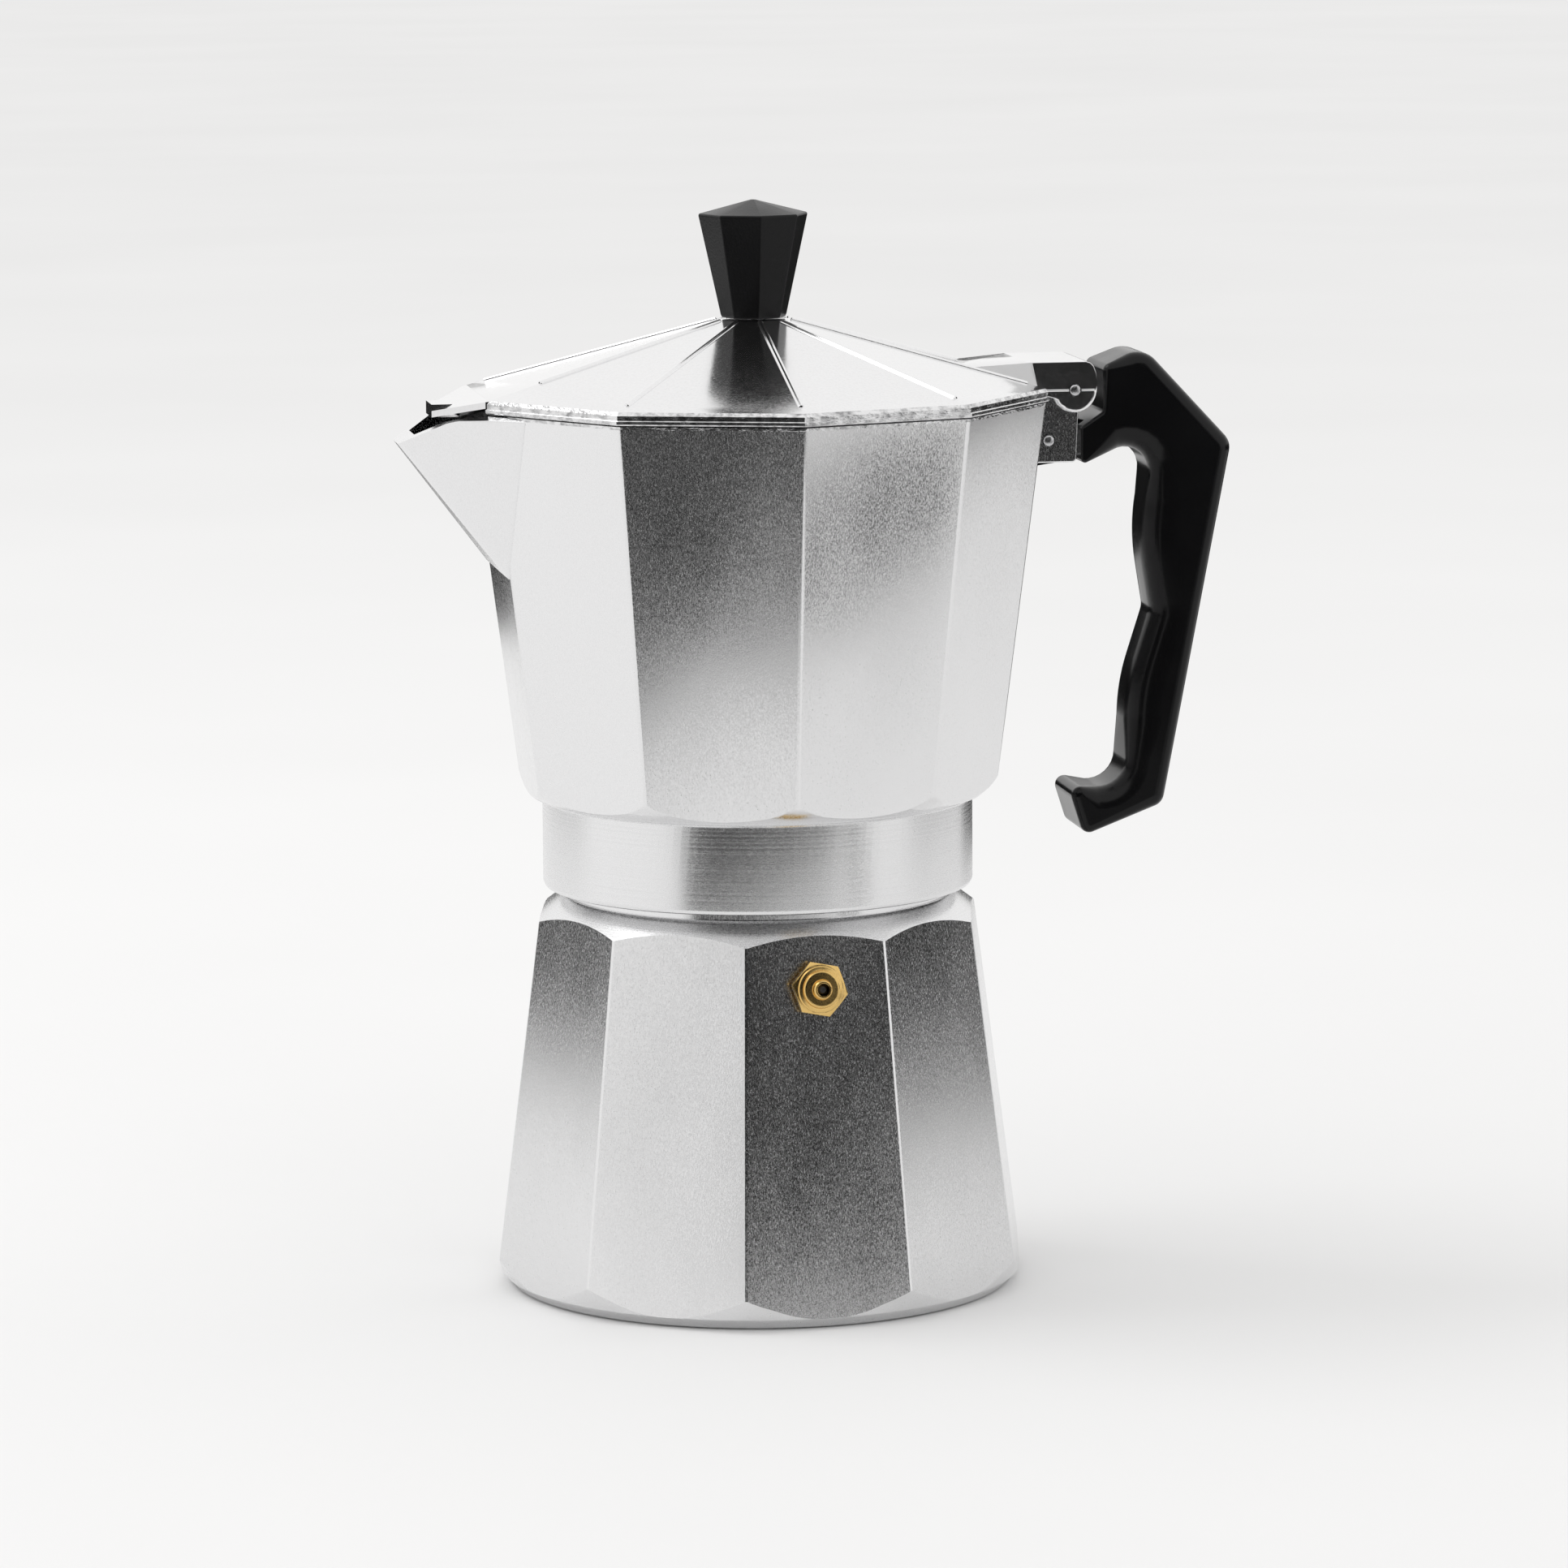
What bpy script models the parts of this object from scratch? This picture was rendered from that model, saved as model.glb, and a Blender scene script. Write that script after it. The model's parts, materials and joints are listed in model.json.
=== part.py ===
"""Stovetop moka pot, six cups: boiler, safety valve, funnel, seal, collector, lid, handle and knob.

Metres, +Z up. The origin is the centre of the boiler's flat base, +X points to the handle, -X to the spout.
"""

import math

import bmesh
import bpy
from mathutils import Matrix, Vector

# ---- clearances ----
GAP = 0.0003                 # between pieces that touch
PIN_PLAY = 0.00015           # radial play of a pin in its hole
THREAD_PLAY = 0.0006         # radial play of the screwed collar
EDGE = 0.0004                # small edge break on turned pieces

# ---- facets ----
SIDES = 10
HALF_STEP = math.pi / SIDES
FLAT = math.cos(HALF_STEP)           # mid-facet radius per corner radius
BOILER_TURN = math.radians(5.6)      # how far the boiler's corners stand round from +X
ROUND = 48                           # segments of a large turned surface
SMALL = 16                           # segments of a small one

# ---- boiler ----
BASE_CORNER = 0.0523         # corner radius the flats would have at the base
FLATS_TOP = 0.0707           # height of the corners' upper end
NECK_R = 0.0374
NECK_WALL = 0.0044
NECK_H = 0.011644            # the neck's height over the shoulder
SHOULDER_W = 0.0056          # turned shoulder, from the neck out to the corners
SHOULDER_SLOPE = 0.76        # rise of the turned shoulder per unit of radius
TOP_CORNER = NECK_R + SHOULDER_W     # corner radius where the flats end
FOOT_BEVEL_W = 0.0038        # turned bevel round the foot
FOOT_BEVEL_H = 0.0075
FOOT_TRIM = 0.0003           # how much the turned bevel takes off the corners
BOILER_FLOOR = 0.004
BOILER_WALL = 0.0036
BOILER_COVE = 0.0025         # rounding between the boiler's floor and wall
CAVITY_DROP = 0.0040         # where the cavity starts to close in, under the top of the flats
FOOT_BEVEL_R = BASE_CORNER - FOOT_TRIM
FOOT_R = FOOT_BEVEL_R - FOOT_BEVEL_W
SHOULDER_TOP = FLATS_TOP + SHOULDER_SLOPE * SHOULDER_W
NECK_TOP = SHOULDER_TOP + NECK_H
NECK_BORE = NECK_R - NECK_WALL

# ---- safety valve, along its own axis from the facet ----
VALVE_DROP = 0.0080          # the valve's axis under the top of the flats
VALVE_FACET = 7              # which facet holds it, counted from the one next to the handle
VALVE_NOSE_BORE = 0.0012
VALVE_NOSE_WALL = 0.0006
VALVE_NOSE_H = 0.0010
VALVE_CHAMBER_R = 0.0024
VALVE_SHANK_WALL = 0.0015
VALVE_INSIDE = 0.0046        # how far the shank stands into the boiler
VALVE_HEX_RIM = 0.0008       # how far the hexagon's flats stand out past the shank
VALVE_HEX_T = 0.0013
VALVE_WASHER_T = 0.0004
VALVE_CONE_H = 0.0012
VALVE_SEAT_T = 0.0014
VALVE_SEAT_BORE = 0.0009
VALVE_HEAD_T = 0.0012
SPRING_WIRE = 0.00045
SPRING_PLAY = 0.0002
SPRING_TURNS = 6
VALVE_Z = FLATS_TOP - VALVE_DROP
VALVE_SHANK_R = VALVE_CHAMBER_R + VALVE_SHANK_WALL
VALVE_SHANK_IN = BOILER_WALL + VALVE_INSIDE
VALVE_HEX = 2 * (VALVE_SHANK_R + VALVE_HEX_RIM)      # across flats
VALVE_NOSE_R = VALVE_NOSE_BORE + VALVE_NOSE_WALL

# ---- funnel ----
FLANGE_INSET = 0.0011        # the flange's edge inside the neck's outer radius
FLANGE_T = 0.0008
BASKET_PLAY = 0.0014         # radial play of the basket in the neck
BASKET_WALL = 0.0008
BASKET_DEPTH = 0.0250
BASKET_LEDGE = 0.0016        # inner step that the basket's filter lies on
FUNNEL_CONE_H = 0.0105
FUNNEL_NECK_H = 0.0012
TUBE_R = 0.0044
TUBE_WALL = 0.0010
TUBE_STANDOFF = 0.0040       # the tube's lower end over the boiler's floor
FLANGE_R = NECK_R - FLANGE_INSET
FLANGE_Z = NECK_TOP + GAP
BASKET_R = NECK_BORE - BASKET_PLAY
BASKET_FLOOR = FLANGE_Z - BASKET_DEPTH
FUNNEL_LOW = BASKET_FLOOR - FUNNEL_CONE_H
TUBE_END_Z = BOILER_FLOOR + TUBE_STANDOFF

# ---- seal ----
GASKET_T = 0.0028
GASKET_INSET = 0.0014        # the gasket's edge inside the neck's outer radius
PLATE_LEDGE = 0.0026         # how much the filter plate is smaller than the gasket
PLATE_COVER = 0.0049         # how much of the plate the gasket covers
PLATE_T = 0.0008
HOLE_R = 0.0011
HOLE_RINGS = 3
HOLE_MARGIN = 0.0071         # from the outermost holes' middle to the basket filter's edge
GASKET_R = NECK_R - GASKET_INSET
PLATE_R = GASKET_R - PLATE_LEDGE
GASKET_BORE = PLATE_R - PLATE_COVER
BASKET_FILTER_R = BASKET_R - BASKET_WALL - GAP
HOLE_PITCH = (BASKET_FILTER_R - HOLE_MARGIN) / HOLE_RINGS
GASKET_Z = FLANGE_Z + FLANGE_T + GAP
PLATE_Z = GASKET_Z + GASKET_T + GAP
RECESS_TOP = PLATE_Z + PLATE_T + GAP

# ---- collector ----
COLLAR_WALL = 0.0029
COLLAR_GAP = 0.001444        # open gap between the shoulder and the collar
COLLAR_RISE = 0.0008         # the collar's upper edge over the filter plate's recess
BODY_STEP_W = 0.0053         # fillet from the collar out to the flats' lower corners
BODY_STEP_H = 0.0046
BODY_H = 0.0706              # height of the flats
RIM_CORNER = 0.05536         # corner radius at the rim
BODY_WALL = 0.0022
BOWL_COVE = 0.0040           # rounding between the collector's floor and wall
FLOOR_T = 0.0064             # from the plate's recess to the collector's floor
SEAT_WEB = 0.0034            # metal of the floor at the middle
DOME_EDGE = 0.0030           # flat ring outside the domed underside
COLLAR_R = NECK_R + THREAD_PLAY + COLLAR_WALL
COLLAR_BOTTOM = SHOULDER_TOP + COLLAR_GAP
COLLAR_TOP = RECESS_TOP + COLLAR_RISE
BODY_LOW_CORNER = COLLAR_R + BODY_STEP_W
BODY_LOW_Z = COLLAR_TOP + BODY_STEP_H
RIM_Z = BODY_LOW_Z + BODY_H
RIM_FLAT = RIM_CORNER * FLAT
BODY_FLOOR = RECESS_TOP + FLOOR_T

# ---- spout ----
SPOUT_DROP = 0.0314          # the foot of the spout's keel under the rim
SPOUT_REACH = 0.01535        # the tip beyond the facet's middle at the rim
SPOUT_TIP_DROP = 0.0064
SPOUT_TIP_HALF = 0.0016
SPOUT_SIDE_SHIFT = 0.0107    # how far along the next facet the spout's side reaches at the rim
SPOUT_ROOT = (0.030, 0.010)  # a place inside the bowl that the spout's wedge starts from
SPOUT_OVERRUN = 1.08         # how far the wedge runs on into the body, from the tip
LIP_LENGTH = 0.0085          # the lip slopes down over this length to the tip
LIP_DROP = 0.0014
LIP_STEP = 0.0065            # level step behind the lip
SPOUT_FOOT_Z = RIM_Z - SPOUT_DROP
SPOUT_TIP_X = RIM_FLAT + SPOUT_REACH
SPOUT_TIP_Z = RIM_Z - SPOUT_TIP_DROP

# ---- column ----
COLUMN_H = 0.0494            # over the collector's floor
COLUMN_BORE = 0.0036
COLUMN_TOP_WALL = 0.0020
COLUMN_BASE_WALL = 0.0042
COLUMN_FLANGE_W = 0.0027
COLUMN_FLANGE_H = 0.0022
COLUMN_CAP_T = 0.0016
COLUMN_SLOT_H = 0.0060
COLUMN_SLOT_DROP = 0.0030
COLUMN_SLOT_HALF = 0.00216
COLUMN_TOP_R = COLUMN_BORE + COLUMN_TOP_WALL
COLUMN_BASE_R = COLUMN_BORE + COLUMN_BASE_WALL
COLUMN_FLANGE_R = COLUMN_BASE_R + COLUMN_FLANGE_W
COLUMN_TOP_Z = BODY_FLOOR + COLUMN_H

# ---- hinge lugs and handle joint ----
HINGE_REACH = 0.00685        # the hinge pin beyond the facet's middle at the rim
HINGE_RISE = 0.0017          # the hinge pin over the rim
PIN_R = 0.0011
PIN_HEAD = 0.0003            # how far a pin's heads stand out
LUG_IN = 0.0050              # half distance between the lugs
LUG_T = 0.0037
LUG_BOSS_WALL = 0.0020
LUG_END = 0.0008             # the lugs' end beyond the hinge pin
LUG_DROP = 0.0122            # the lugs' lower end under the rim
LUG_EDGE = 0.0006
LUG_ROOT = 0.0012            # how deep the lugs start in the wall
RIVET_BACK = 0.0046          # the handle's pin behind the hinge pin
RIVET_DROP = 0.0080          # the handle's pin under the rim
PIN_X = RIM_FLAT + HINGE_REACH
PIN_Z = RIM_Z + HINGE_RISE
LUG_OUT = LUG_IN + LUG_T
LUG_BOSS_R = PIN_R + LUG_BOSS_WALL
LUG_END_X = PIN_X + LUG_END
LUG_LOW_Z = RIM_Z - LUG_DROP
RIVET_X = PIN_X - RIVET_BACK
RIVET_Z = RIM_Z - RIVET_DROP

# ---- lid ----
LID_OVERHANG = 0.00064       # the lid's corners beyond the rim's
SKIRT_H = 0.0022
LID_SLOPE = 0.266            # rise per unit of corner radius
LID_T = 0.0012
LID_FLAT_RIM = 0.0005        # flat seat round the knob's foot
EAR_PLAY = 0.0005            # between an ear and its lug
EAR_T = 0.0019
EAR_WALL = 0.0032            # ear round the pin
BRIDGE_RISE = 0.0054         # the channel's top over the hinge pin
BRIDGE_T = 0.0019
BRIDGE_REACH = 0.0037        # the channel's end beyond the hinge pin
BRIDGE_ROUND = ((0.0016, 0.0), (0.0002, 0.0008), (-0.0004, 0.0022))     # back from its end, down from its top
RAMP_LENGTH = 0.0200         # the ramp's start behind the hinge pin
RAMP_SINK = 0.0004
TONGUE_BACK = 0.0062         # the tongue's end behind the spout's tip
TONGUE_HALF = 0.0045
TONGUE_DROP = 0.0026
BEAK_L = 0.0056
BEAK_H = 0.0012
SKIRT_GAP_EDGE = 0.0012      # skirt left at each side of the spout
LID_CORNER = RIM_CORNER + LID_OVERHANG
SKIRT_Z = RIM_Z + GAP
LID_RIM_Z = SKIRT_Z + SKIRT_H
EAR_IN = LUG_OUT + EAR_PLAY
EAR_OUT = EAR_IN + EAR_T
EAR_R = PIN_R + EAR_WALL
BRIDGE_TOP = PIN_Z + BRIDGE_RISE
BRIDGE_END_X = PIN_X + BRIDGE_REACH
RAMP_START_X = PIN_X - RAMP_LENGTH
TONGUE_END_X = SPOUT_TIP_X - TONGUE_BACK

# ---- handle, measured from the hinge pin outwards and from the rim down ----
HANDLE_HALF = 0.0089
HANDLE_ROUND = 0.0022
HANDLE_FRONT_GAP = 0.0009    # between the lugs' end and the handle
HANDLE_RISE = 0.0105         # the handle's top over the rim
HANDLE_REACH = 0.0312        # the outermost corner
ELBOW_DROP = 0.0091          # that corner under the rim
GRIP_INSET = 0.0138          # the grip's inner side under the elbow
GRIP_DROP = 0.0839           # the grip's lower end
GRIP_FOOT = 0.0179           # the lower end's outer corner
FINGER_RISE = 0.0412         # the ridge between the fingers
JOINT_PLAY = 0.0004          # between the handle's tongue and the lugs
JOINT_HALF = LUG_IN - JOINT_PLAY

# ---- knob ----
KNOB_LOW_R = 0.0063
KNOB_TOP_R = 0.0104
KNOB_H = 0.0193
KNOB_PEAK = 0.0028
KNOB_SIDES = 8
KNOB_TURN = math.radians(-1.2)
SCREW_R = 0.0020
SCREW_GRIP = 0.0120
SCREW_HEAD_W = 0.0017
SCREW_HEAD_T = 0.0018
SCREW_SLOT = 0.0007
KNOB_WASHER_INSET = 0.0018   # the washer's edge inside the lid's flat seat
KNOB_WASHER_T = 0.0007
LID_FLAT_R = KNOB_LOW_R + LID_FLAT_RIM
LID_SEAT_Z = LID_RIM_Z + LID_SLOPE * (LID_CORNER - LID_FLAT_R)
KNOB_Z = LID_SEAT_Z + GAP
SCREW_BORE = SCREW_R + GAP
SCREW_HEAD_R = SCREW_R + SCREW_HEAD_W
KNOB_WASHER_R = LID_FLAT_R - KNOB_WASHER_INSET

OVER = 0.004                 # how far a cutter reaches past what it cuts

FINISHES = {
    "cast_aluminium": ((0.80, 0.80, 0.81), 0.32, 1.0),
    "sheet_aluminium": ((0.86, 0.86, 0.87), 0.24, 1.0),
    "brass": ((0.72, 0.53, 0.24), 0.28, 1.0),
    "steel": ((0.56, 0.56, 0.57), 0.30, 1.0),
    "black_plastic": ((0.012, 0.012, 0.013), 0.30, 0.0),
    "white_rubber": ((0.82, 0.80, 0.76), 0.60, 0.0),
}


# ---------------------------------------------------------------- helpers

def clear_scene():
    for obj in list(bpy.data.objects):
        bpy.data.objects.remove(obj)


def material(finish, name):
    colour, roughness, metallic = FINISHES[finish]
    made = bpy.data.materials.new(name)
    made.use_nodes = True
    shader = made.node_tree.nodes["Principled BSDF"]
    shader.inputs["Base Color"].default_value = (*colour, 1.0)
    shader.inputs["Roughness"].default_value = roughness
    shader.inputs["Metallic"].default_value = metallic
    return made


def add_object(name, bm, finish=None, smooth=True):
    """Turn a bmesh into a named object; without a finish it is a cutter that is never rendered."""
    bmesh.ops.recalc_face_normals(bm, faces=bm.faces)
    mesh = bpy.data.meshes.new(name)
    bm.to_mesh(mesh)
    bm.free()
    obj = bpy.data.objects.new(name, mesh)
    bpy.context.scene.collection.objects.link(obj)
    if finish is None:
        obj.hide_render = True
        obj.display_type = "WIRE"
    else:
        mesh.materials.append(material(finish, name + "_finish"))
        if smooth:
            mesh.shade_smooth()
            mesh.set_sharp_from_angle(angle=math.radians(28))
    return obj


def turned(profile, segments=ROUND):
    """Spin a closed outline of (radius, height) points about Z into a solid."""
    bm = bmesh.new()
    verts = [bm.verts.new((r, 0.0, z)) for r, z in profile]
    edges = [bm.edges.new((a, b)) for a, b in zip(verts, verts[1:] + verts[:1])
             if not (a.co.x == 0.0 and b.co.x == 0.0)]
    bmesh.ops.spin(bm, geom=verts + edges, cent=(0, 0, 0), axis=(0, 0, 1), angle=math.tau,
                   steps=segments, use_merge=True)
    bmesh.ops.remove_doubles(bm, verts=bm.verts, dist=1e-7)
    return bm


def faceted(rings, sides=SIDES, turn=HALF_STEP):
    """Stack polygon rings of (corner radius, height) into a solid."""
    bm = bmesh.new()
    loops = []
    for radius, z in rings:
        angles = [turn + math.tau * i / sides for i in range(sides)]
        loops.append([bm.verts.new((radius * math.cos(a), radius * math.sin(a), z)) for a in angles])
    for low, high in zip(loops, loops[1:]):
        for i in range(sides):
            j = (i + 1) % sides
            bm.faces.new((low[i], low[j], high[j], high[i]))
    bm.faces.new(list(reversed(loops[0])))
    bm.faces.new(loops[-1])
    return bm


def hull(points):
    bm = bmesh.new()
    for point in points:
        bm.verts.new(point)
    bmesh.ops.convex_hull(bm, input=bm.verts, use_existing_faces=False)
    loose = [v for v in bm.verts if not v.link_faces]
    bmesh.ops.delete(bm, geom=loose, context="VERTS")
    return bm


def box(low, high):
    return hull([(x, y, z) for x in (low[0], high[0]) for y in (low[1], high[1]) for z in (low[2], high[2])])


def plate(outline, y_from, y_to):
    """Extrude an outline of (x, z) points along Y."""
    bm = bmesh.new()
    verts = [bm.verts.new((x, y_from, z)) for x, z in outline]
    face = bm.faces.new(verts)
    grown = bmesh.ops.extrude_face_region(bm, geom=[face])
    moved = [v for v in grown["geom"] if isinstance(v, bmesh.types.BMVert)]
    bmesh.ops.translate(bm, verts=moved, vec=(0, y_to - y_from, 0))
    return bm


def rod(radius, half, x, z, segments=SMALL):
    """A round bar along Y, as long to both sides."""
    angles = [math.tau * i / segments for i in range(segments)]
    outline = [(x + radius * math.cos(a), z + radius * math.sin(a)) for a in angles]
    return plate(outline, -half, half)


def ring(bore, radius, z, height, segments):
    """A plain washer or tube about Z."""
    return turned([(bore, z), (radius, z), (radius, z + height), (bore, z + height)], segments)


def filleted(corners, steps=4):
    """Round each (x, z, radius) corner of an outline with an arc."""
    points = []
    count = len(corners)
    for i, (x, z, radius) in enumerate(corners):
        here = Vector((x, z))
        before = (Vector(corners[i - 1][:2]) - here)
        after = (Vector(corners[(i + 1) % count][:2]) - here)
        if radius == 0.0:
            points.append((x, z))
            continue
        bend = before.angle(after)
        reach = min(radius / math.tan(bend / 2), 0.49 * before.length, 0.49 * after.length)
        start = here + before.normalized() * reach
        end = here + after.normalized() * reach
        for k in range(steps + 1):
            t = k / steps
            p = start.lerp(here, t).lerp(here.lerp(end, t), t)
            points.append((p.x, p.y))
    return points


def both(points):
    """The same points on both sides of the XZ plane."""
    return [(x, sign * y, z) for sign in (1, -1) for x, y, z in points]


def merge(name, meshes):
    """Put several closed shapes into one cutter object."""
    joined = bmesh.new()
    for bm in meshes:
        part = bpy.data.meshes.new(name)
        bm.to_mesh(part)
        bm.free()
        joined.from_mesh(part)
        bpy.data.meshes.remove(part)
    return add_object(name, joined)


def boolean(target, tool, operation):
    modifier = target.modifiers.new(tool.name, "BOOLEAN")
    modifier.operation = operation
    modifier.solver = "EXACT"
    modifier.object = tool


def cut(target, tool):
    boolean(target, tool, "DIFFERENCE")


def join(target, tool):
    boolean(target, tool, "UNION")


def keep(target, tool):
    boolean(target, tool, "INTERSECT")


def round_edges(target, width, segments, angle=30.0):
    modifier = target.modifiers.new("round", "BEVEL")
    modifier.width = width
    modifier.segments = segments
    modifier.limit_method = "ANGLE"
    modifier.angle_limit = math.radians(angle)


def set_origin(obj, point):
    """Move an object's origin to a point without moving its surface."""
    obj.data.transform(Matrix.Translation(-Vector(point)))
    obj.location = point


# ---------------------------------------------------------------- shared sizes

def boiler_corner(z):
    return BASE_CORNER + (TOP_CORNER - BASE_CORNER) * z / FLATS_TOP


def body_corner(z):
    return BODY_LOW_CORNER + (RIM_CORNER - BODY_LOW_CORNER) * (z - BODY_LOW_Z) / (RIM_Z - BODY_LOW_Z)


def lid_height(corner_radius):
    return LID_RIM_Z + LID_SLOPE * (LID_CORNER - corner_radius)


# ---------------------------------------------------------------- boiler

def make_boiler():
    turn = BOILER_TURN + HALF_STEP * 2
    high = FLATS_TOP + 2 * OVER
    outer = faceted([(boiler_corner(0.0), 0.0), (boiler_corner(high), high)], turn=turn)
    boiler = add_object("boiler", outer, "cast_aluminium", smooth=False)
    edge_w = 0.0012
    envelope = turned([(0, 0), (FOOT_R, 0), (FOOT_R + edge_w, 2 * EDGE),
                       (FOOT_BEVEL_R - edge_w, FOOT_BEVEL_H * 0.6), (FOOT_BEVEL_R, FOOT_BEVEL_H),
                       (TOP_CORNER + OVER, FLATS_TOP - SHOULDER_SLOPE * OVER), (NECK_R, SHOULDER_TOP),
                       (0, SHOULDER_TOP)])
    keep(boiler, add_object("boiler_envelope", envelope))
    bevel = 1.5 * EDGE
    neck = turned([(0, SHOULDER_TOP - OVER), (NECK_R, SHOULDER_TOP - OVER), (NECK_R, NECK_TOP - bevel),
                   (NECK_R - bevel, NECK_TOP), (0, NECK_TOP)])
    join(boiler, add_object("boiler_neck", neck))
    cove_top = BOILER_FLOOR + BOILER_COVE
    low_r = FLAT * boiler_corner(cove_top) - BOILER_WALL
    high_r = FLAT * boiler_corner(FLATS_TOP) - BOILER_WALL
    cavity = turned([(0, BOILER_FLOOR), (low_r - BOILER_COVE * 0.75, BOILER_FLOOR), (low_r, cove_top),
                     (high_r, FLATS_TOP - CAVITY_DROP), (NECK_BORE, SHOULDER_TOP - GAP),
                     (NECK_BORE, NECK_TOP + OVER), (0, NECK_TOP + OVER)])
    cut(boiler, add_object("boiler_cavity", cavity))
    hole_r = VALVE_SHANK_R + GAP
    hole = add_object("valve_hole", turned([(0, -VALVE_SHANK_IN - OVER), (hole_r, -VALVE_SHANK_IN - OVER),
                                            (hole_r, OVER), (0, OVER)], SMALL))
    hole.matrix_world = valve_frame()
    cut(boiler, hole)
    return boiler


def valve_frame():
    """Where the valve's axis meets its facet, with +Z along the facet's outward normal."""
    angle = BOILER_TURN + HALF_STEP * (2 * VALVE_FACET + 1)
    tilt = math.atan(FLAT * (BASE_CORNER - TOP_CORNER) / FLATS_TOP)
    radius = FLAT * boiler_corner(VALVE_Z)
    foot = Vector((radius * math.cos(angle), radius * math.sin(angle), VALVE_Z))
    outward = Vector((math.cos(angle) * math.cos(tilt), math.sin(angle) * math.cos(tilt), math.sin(tilt)))
    return Matrix.Translation(foot) @ outward.to_track_quat("Z", "Y").to_matrix().to_4x4()


# ---------------------------------------------------------------- safety valve

def make_valve():
    holder = bpy.data.objects.new("valve_axis", None)
    bpy.context.scene.collection.objects.link(holder)
    holder.matrix_world = valve_frame()
    step = 0.0002                                  # overlap that joins the turned stem to the hexagon
    flat_r = VALVE_HEX / 2
    corner_r = flat_r / math.cos(math.pi / 6)
    washer_z = GAP
    hex_z = washer_z + VALVE_WASHER_T + GAP
    cone_z = hex_z + VALVE_HEX_T
    nose_z = cone_z + VALVE_CONE_H
    tip_z = nose_z + VALVE_NOSE_H
    inner_z = -VALVE_SHANK_IN
    washer_r = flat_r - GAP
    washer_bore = VALVE_SHANK_R + GAP
    washer = add_object("valve_washer", ring(washer_bore, washer_r, washer_z, VALVE_WASHER_T, 24), "brass")
    hexagon = faceted([(corner_r, hex_z), (corner_r, cone_z)], sides=6, turn=0.0)
    body = add_object("valve_body", hexagon, "brass")
    cone_r = flat_r - step / 2
    stem = turned([(0, inner_z), (VALVE_SHANK_R, inner_z), (VALVE_SHANK_R, hex_z + step),
                   (cone_r, hex_z + step), (cone_r, cone_z + step), (cone_r - VALVE_CONE_H, nose_z),
                   (VALVE_NOSE_R, nose_z), (VALVE_NOSE_R, tip_z - EDGE), (VALVE_NOSE_R - EDGE, tip_z),
                   (0, tip_z)], 24)
    stem_tool = add_object("valve_stem_shape", stem)
    bore = turned([(0, inner_z - OVER), (VALVE_CHAMBER_R, inner_z - OVER), (VALVE_CHAMBER_R, cone_z),
                   (VALVE_NOSE_BORE, cone_z + VALVE_CONE_H / 2), (VALVE_NOSE_BORE, tip_z + OVER),
                   (0, tip_z + OVER)], SMALL)
    bore_tool = add_object("valve_bore", bore)
    join(body, stem_tool)
    cut(body, bore_tool)
    seat_r = VALVE_CHAMBER_R - GAP
    seat_top = inner_z + VALVE_SEAT_T
    seat = turned([(VALVE_SEAT_BORE, inner_z), (seat_r, inner_z), (seat_r, seat_top),
                   (VALVE_SEAT_BORE + EDGE, seat_top), (VALVE_SEAT_BORE, seat_top - EDGE)], SMALL)
    seat_ring = add_object("valve_seat", seat, "brass")
    head_z = seat_top + GAP
    head_top = head_z + VALVE_HEAD_T
    stem_r = VALVE_NOSE_BORE - GAP
    stem_top = nose_z + GAP
    plunger = turned([(0, head_z), (seat_r - EDGE, head_z), (seat_r, head_z + EDGE), (seat_r, head_top),
                      (stem_r, head_top), (stem_r, nose_z), (stem_r - GAP, stem_top), (0, stem_top)], SMALL)
    head = add_object("valve_plunger", plunger, "steel")
    wire_r = SPRING_WIRE / 2
    coil_r = VALVE_CHAMBER_R - SPRING_PLAY - wire_r
    spring = make_spring(head_top + GAP + wire_r, cone_z - GAP - wire_r, coil_r)
    for piece in (washer, body, stem_tool, bore_tool, seat_ring, head, spring):
        piece.parent = holder


def make_spring(low, high, radius):
    """A helix of round wire along local Z."""
    per_turn = 10
    count = SPRING_TURNS * per_turn
    curve = bpy.data.curves.new("valve_spring", "CURVE")
    curve.dimensions = "3D"
    curve.bevel_depth = SPRING_WIRE / 2
    curve.bevel_resolution = 1
    curve.use_fill_caps = True
    line = curve.splines.new("POLY")
    line.points.add(count)
    for i in range(count + 1):
        angle = math.tau * i / per_turn
        height = low + (high - low) * i / count
        line.points[i].co = (radius * math.cos(angle), radius * math.sin(angle), height, 1.0)
    spring = bpy.data.objects.new("valve_spring", curve)
    bpy.context.scene.collection.objects.link(spring)
    curve.materials.append(material("steel", "valve_spring_finish"))
    return spring


# ---------------------------------------------------------------- funnel

def perforations(name, z_from, z_to):
    """A cutter with a hexagonal pattern of small round holes."""
    tools = []
    rows = range(-HOLE_RINGS, HOLE_RINGS + 1)
    for row in rows:
        for column in rows:
            if abs(row + column) > HOLE_RINGS:
                continue
            x = HOLE_PITCH * (column + row / 2)
            y = HOLE_PITCH * row * math.sqrt(3) / 2
            bm = faceted([(HOLE_R, z_from), (HOLE_R, z_to)], sides=8, turn=0.0)
            bmesh.ops.translate(bm, verts=bm.verts, vec=(x, y, 0))
            tools.append(bm)
    return merge(name, tools)


def disc(name, radius, z, finish):
    """A round perforated plate."""
    top = z + PLATE_T
    made = add_object(name, turned([(0, z), (radius, z), (radius, top), (0, top)], 32), finish)
    cut(made, perforations(name + "_holes", z - OVER, top + OVER))
    return made


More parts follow.
